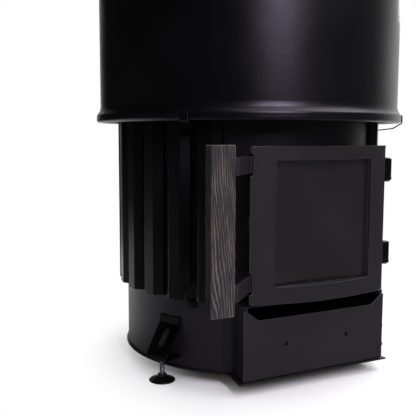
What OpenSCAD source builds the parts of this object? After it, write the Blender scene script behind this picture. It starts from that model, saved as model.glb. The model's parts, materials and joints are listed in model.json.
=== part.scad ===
// Wood-burning sauna stove: a round firebox in a fluted casing, with a stone drum round its upper half.
// The stove's axis is vertical, its door faces -Y and the floor is z = 0. Angles named az are degrees
// from the front, clockwise seen from above, so az = 90 is the stove's left side (-X).

/* [Drum] */
// Overall height of the stove
stove_h = 800; // [760:5:900]
// Distance from the firebox to the outer face of the drum's straight wall
drum_gap = 49; // [45:1:75]
// Sheet thickness of the drum
drum_t = 2.5; // [1.5:0.5:4]
// Height of the underside of the drum's rolled lower edge above the door
bead_gap = 37.5; // [30:0.5:50]
// Diameter of the rolled bead
bead_d = 10; // [8:1:12]
// How far the bead and the hem above it stand out past the drum's wall
bead_out = 7; // [6:0.5:9]
// Height of the top of the hem's upright face above the bead's underside
hem_h = 11; // [10:0.5:14]
// Radius of the hem's rounded upper edge
hem_r = 6; // [4:0.5:6.5]
// Radius of the concave cove between the hem and the drum's wall
cove_r = 20.6; // [16:0.2:26]
// Diameter of the rolled rim at the drum's top
rim_d = 8; // [6:1:10]
// How far the rolled rim stands out past the drum's wall
rim_out = 2; // [1:0.5:4]
// Thickness of the drum's floor plate
drum_floor_t = 3; // [2:0.5:5]
// Height of the drum floor's underside above the bead's middle
drum_floor_up = 2; // [1:0.5:4]
// Length of an air vent in the drum's floor, along the flute
vent_w = 15; // [10:1:17]
// Width of an air vent in the drum's floor
vent_d = 8; // [5:0.5:9]
// Number of gussets that carry the stones' load to the firebox
gusset_count = 8; // [6:1:12]
// Height of a gusset
gusset_h = 60; // [40:5:90]
// Gap between a gusset and the drum's wall
gusset_gap = 10.3; // [5:0.1:20]
// Height of a gusset's upright outer end
gusset_end = 8; // [4:1:16]
// Thickness of a gusset
gusset_t = 4; // [3:0.5:6]

/* [Firebox] */
// Outer radius of the firebox shell
shell_r = 221; // [216:1:222]
// Wall thickness of the firebox shell
shell_t = 5; // [4:0.5:7]
// Height of the firebox shell's top edge above the drum's lower edge
shell_rise = 177; // [150:1:200]
// Thickness of the firebox's top plate
top_t = 6; // [4:0.5:10]
// Height of the firebox floor's underside above the skirt's top edge
fire_floor_up = 12; // [8:1:16]
// Thickness of the firebox floor
fire_floor_t = 6; // [4:0.5:8]
// Width of the grate's flange
grate_w = 270; // [240:5:290]
// Depth of the grate's flange, front to back
grate_d = 200; // [160:5:220]
// Width of the ledge of the grate's flange on the firebox floor
grate_ledge = 10; // [8:1:14]
// Thickness of the grate's flange
grate_t = 6; // [5:0.5:8]
// How far the grate's body hangs below the firebox floor's top
grate_hang = 12; // [8:1:14]
// Number of slots in the grate
grate_slots = 11; // [7:1:13]
// Width of a slot in the grate
grate_slot_w = 9; // [6:0.5:11]
// Distance from a slot's end to the edge of the grate's body
grate_slot_end = 8; // [6:1:14]
// How far the grate's centre lies in front of the stove's axis
grate_forward = 20; // [0:1:30]
// Distance from the baffle plate's underside up to the firebox shell's top edge
baffle_drop = 65; // [40:5:100]
// Thickness of the baffle plate
baffle_t = 6; // [4:0.5:8]
// Distance from the stove's axis to the baffle plate's straight front edge
baffle_front = 115; // [90:5:140]
// Width of a block that the baffle plate rests on
rest_w = 24; // [16:1:32]
// How far such a block stands out from the shell
rest_d = 8; // [6:1:14]
// Thickness of a block that the baffle plate rests on
rest_t = 6; // [4:1:8]

/* [Flue] */
// Radius of the flue socket's bore
flue_bore_r = 58.5; // [50:0.5:75]
// Wall thickness of the flue socket
flue_t = 3; // [2:0.5:5]
// Depth of the flue socket's bore
flue_depth = 60; // [45:5:80]
// Height of the neck below the flue socket's bore
flue_neck_h = 24; // [15:1:40]
// Width of the inner ledge that the flue pipe rests on
flue_ledge = 4; // [3:0.5:6]

/* [Fluted casing] */
// Number of flutes
flute_count = 21; // [19:2:21]
// Angle from the front to the first flute's centre
first_flute_az = 45.6; // [44:0.2:47]
// Radial depth of a flute, from its crest to the sheet between the flutes
flute_depth = 15.2; // [12:0.2:17]
// Radial depth of the chamfer at each side of a crest
chamfer_depth = 10.6; // [8:0.2:11]
// Width of a flute's flat crest
crest_w = 22.5; // [18:0.5:24]
// Width of the gap between two flutes
flute_gap = 4.8; // [4:0.2:7]
// Thickness of the casing sheet
wrap_t = 1.5; // [1:0.1:2]
// Width of a notch in the casing's lower edge
notch_w = 23; // [20:0.5:26]
// Height of a notch in the casing's lower edge
notch_h = 25; // [22:1:30]
// Width of a lower tongue
tab_w = 14; // [10:0.5:18]
// How far a lower tongue reaches down the skirt
tab_root = 14; // [10:1:20]
// Height of a lower tongue's slope above and below the skirt's top edge
tab_bend = 5; // [3:0.5:7]
// How far a lower tongue's face lies behind the flutes' crests
tab_set = 3.5; // [2:0.5:6]
// Gap between a lower tongue's end and the notch's upper edge
tab_gap = 3; // [1:0.5:6]
// Width of an upper clip
clip_w = 14; // [10:0.5:18]
// Sheet thickness of the clips and tongues
clip_t = 2; // [1.5:0.25:2.5]
// Angle from the front to the front clips
clip_az = 50; // [48:0.5:52]
// Angle from the front to the rear clips
rear_clip_az = 155; // [140:0.5:165]
// How far a clip's lower end lies below the drum's lower edge
clip_low = 11; // [9:0.5:16]
// How far the lower end of a clip's slope lies below the drum's lower edge
clip_bend = 8; // [6:0.5:12]
// Length of a clip's slope, measured towards the stove's axis
clip_slope = 14; // [10:0.5:18]
// How far a clip's upper end reaches over the hem's rounded edge
clip_over = 3; // [2:0.5:4]
// How far a clip's upper end is nipped in over the hem
clip_nip = 0.7; // [0.3:0.1:0.8]
// Sheet thickness of the smooth panel round the door
panel_t = 1.5; // [1:0.1:2]

/* [Base] */
// Height of the base plate's underside above the floor
base_z = 19; // [17:0.5:21]
// Thickness of the base plate
base_t = 3; // [2:0.5:4]
// How far the base plate stands out past the round skirt
base_over = 3.6; // [2:0.2:6]
// Sheet thickness of the round skirt
ring_t = 2; // [1.5:0.1:2.2]
// Height of the round skirt
ring_h = 116; // [110:1:122]
// Width of the skirt's inward lip, on which the firebox shell stands
ring_lip = 12; // [9:1:16]
// Angle from the front at which the skirt ends
ring_az = 36; // [35.5:0.1:36.5]
// Angle from the front of the seam where an apron sheet starts
seam_az = 39.4; // [38.6:0.1:40]
// Angle from the front at which an apron sheet leaves the skirt
bend_az = 34.9; // [34.4:0.1:35.4]
// Sheet thickness of the apron
apron_t = 2; // [1.5:0.1:2.5]
// How far an apron sheet spreads sideways from its bend to its front corner
apron_spread = 7.17; // [4:0.5:10]
// Distance from the firebox's foremost line to the outer face of the drawer's front
apron_reach = 10.6; // [9:0.2:13]
// Thickness of the apron's top plate
apron_top_t = 2.7; // [2:0.1:3.5]
// Width of the turned-in edge at the front of an apron sheet
apron_return = 8; // [6:0.5:10]
// How far the base plate stands out past the apron's sides
base_side_over = 8; // [6:0.5:10]
// How far the base plate stands out past the drawer's front
base_front_over = 1.9; // [1:0.1:4]
// Radius of the base plate's inner corner between skirt and apron
base_fillet = 15; // [10:1:20]

/* [Door] */
// Width of the door
door_w = 258; // [252:1:262]
// Gap between the apron's top plate and the door
door_gap = 2.5; // [1.5:0.5:5]
// Height of the door
door_h = 242; // [236:1:246]
// Radius of the door plate's curve
door_bow_r = 420; // [400:10:460]
// Gap between the door plate's side edges and the collar's front edge
door_edge_gap = 4.345; // [4:0.05:7]
// Thickness of the door plate
door_t = 3; // [2.5:0.5:4]
// Width of the door plate beside the window
window_side = 39; // [37:0.5:50]
// Width of the door plate below the window
window_low = 27.5; // [26:0.5:32]
// Width of the door plate above the window
window_top = 21.4; // [20.5:0.2:26]
// How far the inner frame's opening is set back from the window opening's edge
window_set = 2; // [1:0.5:3]
// Thickness of the glass
glass_t = 4; // [3:0.5:5]
// How far the glass reaches behind the window opening's edge
glass_grip = 6; // [5.5:0.1:6.5]
// How far the glass reaches behind the window opening's upper edge
glass_grip_top = 5; // [4.5:0.1:5.5]
// Width of the gasket round the glass
gasket_w = 4; // [2:0.5:4]
// Thickness of the gasket round the glass
gasket_t = 2.8; // [2:0.1:3]
// Diameter of the door's rope seal
seal_d = 8; // [7:0.5:9]
// Distance from the door's side edge to the rope seal's centre line
seal_side = 23; // [22:0.5:24]
// Distance from the door's top and bottom edges to the rope seal's centre line
seal_end = 10; // [9.5:0.5:11]
// How far the inner frame reaches past the rope seal's centre line
frame_edge = 6.5; // [5:0.5:7]
// How far the inner frame's back lies in front of the rope seal's centre line
frame_set = 0.7; // [0.5:0.1:1.5]
// Wall thickness of the door collar
collar_t = 4; // [3:0.5:5]
// How far the collar's front edge stands out past the firebox's foremost line
collar_out = 6.2; // [6:0.1:7]

/* [Hinges and latch] */
// Distance from the door's side edge out to the hinge axis
hinge_side = 12; // [11:0.5:17]
// Distance from the collar's front edge back to the hinge axis
hinge_back = 1.2; // [0:0.1:2]
// Radius of a hinge pin
pin_r = 4; // [3:0.5:5]
// Radial clearance between a hinge pin and its barrel
pin_clear = 0.05; // [0.03:0.01:0.08]
// Outer radius of a hinge barrel
barrel_r = 7; // [6.5:0.5:8]
// Height of a hinge barrel
barrel_h = 30; // [24:1:36]
// Height of the lower hinge lug's underside above the door's lower edge
hinge_low = 44.5; // [36:0.5:60]
// Distance between the two hinges
hinge_pitch = 140; // [120:5:150]
// Thickness of a hinge lug
lug_t = 5; // [4:0.5:6]
// Depth of a hinge lug where it is welded to the collar
lug_root = 19; // [14:1:22]
// Distance from the collar's front edge back to a hinge lug's root
lug_set = 8; // [6:0.5:10]
// Width of the latch, along the height of the door
latch_w = 20; // [14:1:26]
// Height of the latch's centre above the door's lower edge
latch_up = 122.5; // [90:0.5:150]
// Distance from the door's side edge to the latch tongue
tongue_side = 12.4; // [12:0.1:13]
// Thickness of the latch tongue and of the keeper's plates
latch_t = 3; // [2:0.5:4]
// How far the keeper stands out above and below the latch tongue
keeper_over = 3; // [2:0.5:5]
// Depth of the keeper's plate on the collar
keeper_d = 22; // [18:1:26]
// Radius of the keeper's round bump
keeper_bump = 4; // [3:0.5:5]

/* [Handle] */
// Width of the wooden bar
bar_w = 39; // [34:0.5:42]
// Thickness of the wooden bar
bar_t = 18.6; // [16:0.2:22]
// How much shorter the wooden bar is than the door
bar_short = 2.7; // [0:0.1:10]
// Height of the bar's lower end above the door's lower edge
bar_up = 5.7; // [3:0.1:9]
// Distance from the door's foremost line out to the bar's front face
bar_reach = 41.6; // [39:0.2:45]
// Distance from the door's side edge to the bar's outer side
bar_side = 98; // [90:1:104]
// Radius of the bar's long edges
bar_edge_r = 2; // [1:0.5:4]
// Chamfer at the bar's ends
bar_chamfer = 2; // [1:0.5:4]
// Width of a handle strap
strap_w = 25.5; // [22:0.5:28]
// Thickness of a handle strap
strap_t = 3.5; // [3:0.5:4]
// Height of the lower strap's centre above the door's lower edge
strap_low = 33; // [28:0.5:40]
// Distance from the upper strap's centre up to the door's upper edge
strap_high = 27.5; // [22:0.5:36]
// Distance from the door's side edge in to the strap's bend
strap_bend = 1.5; // [1:0.25:2.5]
// Distance from the strap's end to the bar's outer side
strap_end = 5; // [2:0.5:8]
// Height of the notch in the door's edge for a strap
strap_notch_h = 33; // [30:0.5:36]
// Depth of the notch in the door's edge for a strap
strap_notch_d = 3.5; // [3:0.5:5]
// Radius of a handle screw's shank
handle_screw_r = 2; // [1.5:0.25:2.5]
// Distance between the two screws of a strap
handle_screw_pitch = 18; // [14:1:22]
// Length of a handle screw inside the wood
handle_screw_l = 11; // [8:0.5:13]
// Radius of a handle screw's head
handle_head_r = 4; // [3:0.5:5]
// Height of a handle screw's head
handle_head_h = 2.5; // [2:0.5:3.5]

/* [Ash drawer] */
// Gap between the drawer's front and the base plate
front_gap = 1.5; // [1:0.1:2.5]
// How far the drawer front's upper edge lies below the skirt's top edge
front_drop = 3.5; // [1:0.5:6]
// Thickness of the drawer's front
front_t = 2.5; // [2:0.5:3]
// Depth of the grip cut-out in the drawer front's upper edge
grip_d = 16.5; // [12:0.5:24]
// Length of the drawer front's upper edge beside the grip cut-out
grip_end = 4.1; // [3:0.1:12]
// Width of the slanted end of the grip cut-out
grip_slant = 22.4; // [16:0.2:28]
// Distance from the middle to each screw in the drawer's front
front_screw_x = 59; // [50:1:70]
// Height of the two screws in the drawer's front above its lower edge
front_screw_up = 51; // [40:0.5:66]
// Radius of the shank of a screw in the drawer's front
front_screw_r = 2; // [1.5:0.25:2]
// Radius of the head of a screw in the drawer's front
front_head_r = 4.5; // [3.5:0.25:5]
// Distance from the ash box's side out to the apron sheet's bend
box_side = 14.13; // [12:0.5:24]
// Length of the ash box, front to back
box_l = 349; // [300:1:360]
// Height of the ash box's underside above the base plate
box_up = 8; // [6:0.5:12]
// Height of the ash box's walls
box_h = 82; // [70:1:90]
// Sheet thickness of the ash box
box_t = 1.5; // [1:0.25:2]
// Sheet thickness of the drawer runners
runner_t = 2; // [1.5:0.25:2.5]
// Distance from the drawer's front back to the runners' front ends
runner_set = 61.6; // [56:0.5:80]
// Height of a runner's wall beside the ash box
runner_wall = 20; // [12:1:30]
// How far the runners reach back past the ash box
runner_over = 10; // [5:1:20]
// Width of a runner's shelf under the ash box
runner_shelf = 12; // [8:1:16]

/* [Feet] */
// Angle from the front to the two front feet
foot_az = 63.8; // [60:0.2:70]
// Distance from the skirt out to a foot's centre
foot_out = 21.6; // [20:0.2:25]
// Diameter of a foot pad
pad_d = 43; // [36:1:50]
// Thickness of a foot pad's disc
pad_t = 3; // [2:0.5:4]
// Height of a foot pad with its raised middle
pad_h = 7; // [6:0.5:9]
// Radius of a foot stud
stud_r = 4; // [3.5:0.5:5]
// Radial clearance between a foot stud and its nut
stud_clear = 0.06; // [0.04:0.01:0.09]
// Height of a foot stud's top end above the bracket's underside
stud_up = 13; // [12:0.5:14]
// Length of the bevel at a foot stud's top end
stud_tip = 1.2; // [0.6:0.1:1.5]
// Height of a stud's hexagon
stud_hex_h = 5; // [4:0.5:6.5]
// Height of the nut on a foot bracket
nut_h = 6.5; // [5:0.5:8]
// Width across the corners of the hexagon nuts
hex_d = 15; // [14:0.5:17]
// Width of a foot bracket
bracket_w = 43; // [36:1:50]
// Sheet thickness of a foot bracket
bracket_t = 3; // [2:0.5:3.5]
// Height of a foot bracket
bracket_h = 66; // [56:1:76]
// Height of a foot bracket's underside above the base plate
bracket_up = 16; // [12:0.5:20]
// Height of the upright flange at a foot bracket's top
bracket_flange = 12; // [8:1:16]
// Height of the upright lip below a foot bracket's slope
bracket_lip = 7; // [5:0.5:10]
// Distance from a foot's centre out to the bracket's outer face
bracket_out = 15; // [12:0.5:18]
// Width of the slot in a foot bracket
slot_w = 12; // [8:0.5:16]
// Length of the slot in a foot bracket
slot_l = 32; // [28:1:36]
// How far down the bracket's slope the slot's centre lies, as a share of the slope
slot_at = 0.43; // [0.4:0.01:0.5]

/* [Hidden] */
$fn = 96;

// Clearance between pieces that sit beside each other without being fastened face to face
seat = 0.3;
// Gap between plates that are welded along their edges
weld_gap = 0.2;
// Overlap of a cutting solid past the surface that it cuts
cut = 1;
// Depth of the blocks that cut the door's outline and its window
door_depth = 60;

black = "#1c1c1e";
steel = "#3a3a3c";
iron = "#2b2a29";
zinc = "#b9b9b4";
rope = "#5b5a55";
glass = "#101214";
wood = "#4a4440";

// Radii and heights round the firebox, from the shell outwards
shell_in_r = shell_r - shell_t;
ring_in_r = shell_r + 2 * weld_gap;
ring_r = ring_in_r + ring_t;
valley_r = ring_r;
crest_r = valley_r + flute_depth;
chamfer_r = crest_r - chamfer_depth;
base_top = base_z + base_t;
ring_top_z = base_top + ring_h;
fire_floor_z = ring_top_z + fire_floor_up;
apron_r = ring_r + seat;
apron_y = shell_r + apron_reach;
apron_back = apron_y - front_t - seat;
apron_top_z = ring_top_z + seat;
apron_top_end = apron_top_z + apron_top_t;
panel_z = apron_top_end + seat;

// The door plate is a slice of an upright cylinder about the line x = 0, y = bow_cy
back_r = door_bow_r - door_t;
door_half = door_w / 2;
door_z = apron_top_end + door_gap;
door_top = door_z + door_h;
collar_front = shell_r + collar_out;
bow_cy = sqrt(pow(back_r, 2) - pow(door_half, 2)) - collar_front - door_edge_gap;
door_front = door_bow_r - bow_cy;
window_half = door_half - window_side;
window_z0 = door_z + window_low;
window_z1 = door_top - window_top;
seal_x = door_half - seal_side;
seal_z0 = door_z + seal_end;
seal_z1 = door_top - seal_end;
seal_r = seal_d / 2;
seal_y = collar_front + seat + seal_r;
seal_bed_r = seal_r + 0.1;
frame_y = seal_y + frame_set;
leaf_x = seal_x + frame_edge + 1;
glass_half = window_half + glass_grip;
glass_z0 = window_z0 - glass_grip;
glass_z1 = window_z1 + glass_grip_top;
gasket_y0 = frame_y + glass_t;
gasket_y1 = gasket_y0 + gasket_t;
collar_half = seal_x + collar_t / 2;
collar_z0 = seal_z0 - collar_t / 2;
collar_z1 = seal_z1 + collar_t / 2;
glass_clip_z = [for (k = [0:2]) glass_z0 + (glass_z1 - glass_z0) * (k + 0.5) / 3];
glass_clip_t = 1.5;
clip_screw_x = glass_half + 3;
clip_screw_r = 1.5;
clip_screw_l = 3.5;

// The drum's derived heights and radii
drum_r = shell_r + drum_gap;
widest_r = drum_r + bead_out;
bead_z = door_top + bead_gap;
bead_r = bead_d / 2;
bead_cr = widest_r - bead_r;
bead_cz = bead_z + bead_r;
hem_cr = widest_r - hem_r;
hem_z = bead_z + hem_h;
cove_cr = drum_r + cove_r;
cove_z = hem_z + sqrt(pow(cove_r + hem_r, 2) - pow(cove_cr - hem_cr, 2));
rim_r = rim_d / 2;
drum_floor_z = bead_cz + drum_floor_up;
shell_top_z = bead_z + shell_rise;
baffle_z = shell_top_z - baffle_drop;

// The fluted casing's derived angles
wrap_z = ring_top_z + seat;
wrap_h = drum_floor_z - wrap_z;
flute_pitch = (360 - 2 * first_flute_az) / (flute_count - 1);
crest_half = asin(crest_w / 2 / crest_r);
gap_half = asin(flute_gap / 2 / valley_r);
base_half = flute_pitch / 2 - gap_half;
notch_az = first_flute_az + flute_pitch / 2;
panel_az = first_flute_az - base_half - seat;

hinge_x = door_half + hinge_side;
hinge_y = collar_front - hinge_back;
hinge_low_z = door_z + hinge_low;
hinge_z = [hinge_low_z, hinge_low_z + hinge_pitch];
latch_z = door_z + latch_up;
tongue_x = door_half - tongue_side;

bar_h = door_h - bar_short;
bar_z = door_z + bar_up;
bar_front = door_front + bar_reach;
bar_back = bar_front - bar_t;
bar_x = door_half + bar_side;
strap_z = [door_z + strap_low, door_top - strap_high];
strap_bend_x = door_half - strap_bend;
handle_screw_x = bar_x - bar_w / 2;

front_z = base_top + front_gap;
front_top_z = ring_top_z - front_drop;
grip_z = front_top_z - grip_d;
front_screw_z = front_z + front_screw_up;
front_head_h = 1.5;
box_z = base_top + box_up;
runner_front = apron_y - runner_set;

bracket_low_z = base_top + bracket_up;
bracket_top_z = bracket_low_z + bracket_h;
foot_r = ring_r + foot_out;
bracket_r = foot_r + bracket_out;
stud_top_z = bracket_low_z + stud_up;
stud_foot_z = pad_h - 4;
foot_azimuths = [foot_az, 180, 360 - foot_az];

// The stove stands with the middle of its outline on the origin
y_shift = (bar_front - widest_r) / 2;

// Geometry helpers
function polar(az, r) = [-r * sin(az), -r * cos(az)];
function unit(v) = v / norm(v);
function left_normal(a, b) = let (d = unit(b - a)) [-d[1], d[0]];
function bow_y(x, r) = bow_cy - sqrt(r * r - x * x);

// The far side of a bent sheet whose near side follows the path, t to the left of the way it runs
function sheet_back(path, t) = [
    for (i = [0:len(path) - 1])
        let (
            last = len(path) - 1,
            before = i == 0 ? left_normal(path[0], path[1]) : left_normal(path[i - 1], path[i]),
            after = i == last ? before : left_normal(path[i], path[i + 1]),
            miter = before + after
        )
        path[i] + t * miter / (miter * after)
];
function sheet_outline(path, t) =
    let (back = sheet_back(path, t), last = len(path) - 1)
    concat(path, [for (i = [0:last]) back[last - i]]);

module sheet(path, t) {
    polygon(sheet_outline(path, t));
}

// Draws its children at an angle from the front, in a frame where -Y points away from the stove
module at_az(az) {
    rotate([0, 0, -az]) children();
}

// Extrudes an outline drawn in x and z, from y = -front towards the stove's back by t
module upright(front, t) {
    translate([0, t - front, 0]) rotate([90, 0, 0]) linear_extrude(t) children();
}

// Extrudes a profile drawn in y (first) and z (second), centred on x = 0; the profile's first
// coordinate counts away from the stove
module across(w) {
    translate([-w / 2, 0, 0]) rotate([0, 0, -90]) rotate([90, 0, 0]) translate([0, 0, -w]) linear_extrude(w)
        children();
}

module rounded(w, h, r) {
    square([w, h - 2 * r], center = true);
    square([w - 2 * r, h], center = true);
    for (x = [-1, 1], y = [-1, 1]) translate([x * (w / 2 - r), y * (h / 2 - r)]) circle(r);
}

// A rectangle given by its corners, with round corners
module pane(x0, z0, x1, z1, r) {
    translate([(x0 + x1) / 2, (z0 + z1) / 2]) rounded(x1 - x0, z1 - z0, r);
}

// The inside of the door collar
module door_mouth(r) {
    x = collar_half - collar_t;
    pane(-x, collar_z0 + collar_t, x, collar_z1 - collar_t, r);
}

module obround(w, l) {
    square([w, l - w], center = true);
    for (y = [-1, 1]) translate([0, y * (l - w) / 2]) circle(w / 2);
}

module place() {
    translate([0, y_shift, 0]) children();
}

// Drum
// The drum's wall bends out in a cove to a hem with an upright face, which ends in a rolled bead
module drum_section() {
    wall_in = drum_r - drum_t;
    hem_w = widest_r - wall_in;
    translate([wall_in, bead_cz]) square([drum_t, stove_h - rim_r - bead_cz]);
    translate([drum_r - rim_r + rim_out, stove_h - rim_r]) circle(rim_r);
    translate([bead_cr, bead_cz]) circle(bead_r);
    translate([wall_in, bead_cz]) square([hem_w, hem_z - bead_cz]);
    intersection() {
        translate([hem_cr, hem_z]) circle(hem_r);
        translate([wall_in, hem_z]) square([hem_w, hem_r]);
    }
    difference() {
        polygon([[wall_in, hem_z], [hem_cr, hem_z], [cove_cr, cove_z], [wall_in, cove_z]]);
        translate([cove_cr, cove_z]) circle(cove_r);
    }
}

module drum_shell() {
    color(black) place() rotate_extrude() drum_section();
}

module drum_floor() {
    color(black) place() difference() {
        translate([0, 0, drum_floor_z]) cylinder(r = drum_r - drum_t - weld_gap, h = drum_floor_t);
        translate([0, 0, drum_floor_z - cut]) cylinder(r = shell_r + weld_gap, h = drum_floor_t + 2 * cut);
        for (k = [0:flute_count - 1])
            at_az(first_flute_az + k * flute_pitch)
                translate([0, -(shell_r + crest_r) / 2, drum_floor_z - cut])
                    linear_extrude(drum_floor_t + 2 * cut) rounded(vent_w, vent_d, 2);
    }
}

module drum_gussets() {
    r0 = shell_r + weld_gap;
    r1 = drum_r - drum_t - gusset_gap;
    z0 = drum_floor_z + drum_floor_t;
    color(black) place() for (k = [0:gusset_count - 1])
        at_az((k + 0.5) * 360 / gusset_count)
            across(gusset_t) polygon([[r0, z0], [r1, z0], [r1, z0 + gusset_end],
                                      [r0 + gusset_end, z0 + gusset_h], [r0, z0 + gusset_h]]);
}

// Firebox
module firebox_shell() {
    color(steel) place() difference() {
        translate([0, 0, ring_top_z]) cylinder(r = shell_r, h = shell_top_z - ring_top_z);
        translate([0, 0, ring_top_z - cut]) cylinder(r = shell_in_r, h = shell_top_z - ring_top_z + 2 * cut);
        upright(shell_r + cut, shell_r)
            door_mouth(3);
    }
}

module firebox_floor() {
    color(steel) place() difference() {
        translate([0, 0, fire_floor_z]) cylinder(r = shell_in_r - weld_gap, h = fire_floor_t);
        translate([0, -grate_forward, fire_floor_z - cut]) linear_extrude(fire_floor_t + 2 * cut)
            square([grate_w - 2 * grate_ledge, grate_d - 2 * grate_ledge], center = true);
    }
}

module fire_grate() {
    side_gap = 2;
    body_w = grate_w - 2 * (grate_ledge + side_gap);
    body_d = grate_d - 2 * (grate_ledge + side_gap);
    floor_top = fire_floor_z + fire_floor_t;
    slot_pitch = body_w / grate_slots;
    color(iron) place() translate([0, -grate_forward, 0]) difference() {
        union() {
            translate([0, 0, floor_top]) linear_extrude(grate_t) rounded(grate_w, grate_d, 6);
            translate([0, 0, floor_top - grate_hang]) linear_extrude(grate_hang) rounded(body_w, body_d, 4);
        }
        for (k = [0:grate_slots - 1])
            translate([(k - (grate_slots - 1) / 2) * slot_pitch, 0, floor_top - grate_hang - cut])
                linear_extrude(grate_hang + grate_t + 2 * cut)
                    obround(grate_slot_w, body_d - 2 * grate_slot_end);
    }
}

module baffle_plate() {
    r = shell_in_r - seat - weld_gap;
    color(steel) place() translate([0, 0, baffle_z]) linear_extrude(baffle_t) difference() {
        circle(r);
        translate([-r, -r - baffle_front]) square([2 * r, r]);
    }
}

// Four blocks on the shell's inner side; sag is how far the shell's curve falls back over half a block
module baffle_rests() {
    r = shell_in_r - seat;
    sag = r - sqrt(pow(r, 2) - pow(rest_w / 2, 2));
    color(steel) place() for (az = [75, 130, 230, 285])
        at_az(az) translate([-rest_w / 2, sag - r, baffle_z - rest_t]) cube([rest_w, rest_d, rest_t]);
}

module firebox_top() {
    color(steel) place() difference() {
        translate([0, 0, shell_top_z]) cylinder(r = shell_r, h = top_t);
        translate([0, 0, shell_top_z - cut]) cylinder(r = flue_bore_r - flue_ledge, h = top_t + 2 * cut);
    }
}

module flue_pipe() {
    z0 = shell_top_z + top_t;
    color(steel) place() difference() {
        translate([0, 0, z0]) cylinder(r = flue_bore_r + flue_t, h = flue_neck_h + flue_depth);
        translate([0, 0, z0 - cut]) cylinder(r = flue_bore_r - flue_ledge, h = flue_neck_h + 2 * cut);
        translate([0, 0, z0 + flue_neck_h]) cylinder(r = flue_bore_r, h = flue_depth + cut);
    }
}

// Fluted casing: one folded sheet, with a chamfered crest on each flute and a narrow gap between flutes
function flute_points(az) = [
    polar(az - base_half, valley_r),
    polar(az - base_half, chamfer_r),
    polar(az - crest_half, crest_r),
    polar(az + crest_half, crest_r),
    polar(az + base_half, chamfer_r),
    polar(az + base_half, valley_r)
];
wrap_path = [for (k = [0:flute_count - 1]) each flute_points(first_flute_az + k * flute_pitch)];

// The notches lie in the second gap on each side of the front, and in two gaps at the back
back_gap = 6;
notch_azimuths = [
    notch_az, notch_az + back_gap * flute_pitch,
    360 - notch_az - back_gap * flute_pitch, 360 - notch_az
];
clip_azimuths = [clip_az, rear_clip_az, 360 - rear_clip_az, 360 - clip_az];

module flute_wrap() {
    color(black) place() difference() {
        translate([0, 0, wrap_z]) linear_extrude(wrap_h) sheet(wrap_path, -wrap_t);
        for (az = notch_azimuths)
            at_az(az) translate([-notch_w / 2, -crest_r - cut, wrap_z - cut])
                cube([notch_w, crest_r + 2 * cut - valley_r * cos(gap_half) + wrap_t, notch_h + cut]);
    }
}

// A tongue rises from the skirt, bends out into the notch and stands in line with the chamfers
module wrap_tabs() {
    low_r = ring_r + seat;
    high_r = crest_r - tab_set;
    path = [[low_r, ring_top_z - tab_root], [low_r, ring_top_z - tab_bend],
            [high_r, ring_top_z + tab_bend], [high_r, wrap_z + notch_h - tab_gap]];
    color(black) place() for (az = notch_azimuths) at_az(az) across(tab_w) sheet(path, -clip_t);
}

// A clip hooks over the hem, slants in below the bead and ends on a flute's crest
module wrap_clips() {
    out = widest_r + seat;
    path = [[crest_r + seat, bead_z - clip_low], [widest_r - clip_slope, bead_z - clip_bend],
            [out, bead_z + 1], [out, hem_z], [out - clip_nip, hem_z + clip_over]];
    color(black) place() for (az = clip_azimuths) at_az(az) across(clip_w) sheet(path, -clip_t);
}

module front_panel() {
    color(black) place() difference() {
        translate([0, 0, panel_z]) rotate([0, 0, -90 - panel_az]) rotate_extrude(angle = 2 * panel_az)
            translate([ring_r - panel_t, 0]) square([panel_t, drum_floor_z - panel_z]);
        translate([-collar_half - seat, -ring_r - cut, collar_z0 - seat])
            cube([2 * (collar_half + seat), ring_r, collar_z1 - collar_z0 + 2 * seat]);
    }
}

// Base
bend = polar(bend_az, apron_r + apron_t);
apron_half_w = apron_spread - bend[0];
corner = [-apron_half_w, -apron_y];
side_dir = unit(corner - bend);
side_out = [side_dir[1], -side_dir[0]];
base_r = ring_r + base_over;
base_front = apron_y + base_front_over;

// The base plate's side line runs parallel to the apron sheet, and a fillet joins it to the round part.
// The fillet's circle bites in past its tangent points, so that no sliver is left there
side_dist = bend * side_out + base_side_over;
fillet_along = sqrt(pow(base_r + base_fillet, 2) - pow(side_dist + base_fillet, 2));
fillet_c = side_out * (side_dist + base_fillet) + side_dir * fillet_along;
fillet_bite = 0.02;
fillet_on_round = fillet_c * base_r / (base_r + base_fillet);
fillet_on_side = fillet_c - side_out * base_fillet;
base_corner = fillet_on_side + side_dir * (-base_front - fillet_on_side[1]) / side_dir[1];

module base_side() {
    difference() {
        polygon([[0, 0], fillet_on_round, fillet_c, fillet_on_side, base_corner, [0, -base_front]]);
        translate(fillet_c) circle(base_fillet + fillet_bite);
    }
}

module base_plate() {
    color(black) place() translate([0, 0, base_z]) linear_extrude(base_t) {
        circle(base_r);
        base_side();
        mirror([1, 0]) base_side();
    }
}

module base_ring() {
    color(black) place() rotate([0, 0, ring_az - 90]) rotate_extrude(angle = 360 - 2 * ring_az) {
        translate([ring_in_r, base_top]) square([ring_t, ring_top_z - base_top]);
        translate([ring_r - ring_lip, ring_top_z - ring_t]) square([ring_lip, ring_t]);
    }
}

// An apron sheet wraps the end of the skirt, leaves it at a bend, runs to the corner and turns in
apron_arc = [for (k = [0:3]) polar(seam_az + (bend_az - seam_az) * k / 3, apron_r + apron_t)];
apron_corner = corner + side_dir * (apron_y - apron_back) / side_dir[1];
apron_path = concat(apron_arc, [apron_corner, apron_corner + [apron_return, 0]]);

module apron_left() {
    color(black) place() translate([0, 0, base_top]) linear_extrude(ring_top_z - base_top)
        sheet(apron_path, apron_t);
}

module apron_right() {
    color(black) mirror([1, 0, 0]) place() translate([0, 0, base_top]) linear_extrude(ring_top_z - base_top)
        sheet(apron_path, apron_t);
}

module apron_top() {
    color(black) place() translate([0, 0, apron_top_z]) linear_extrude(apron_top_t) difference() {
        polygon([bend, apron_corner, [-apron_corner[0], apron_corner[1]], [-bend[0], bend[1]]]);
        circle(shell_r + seat);
    }
}

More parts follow.
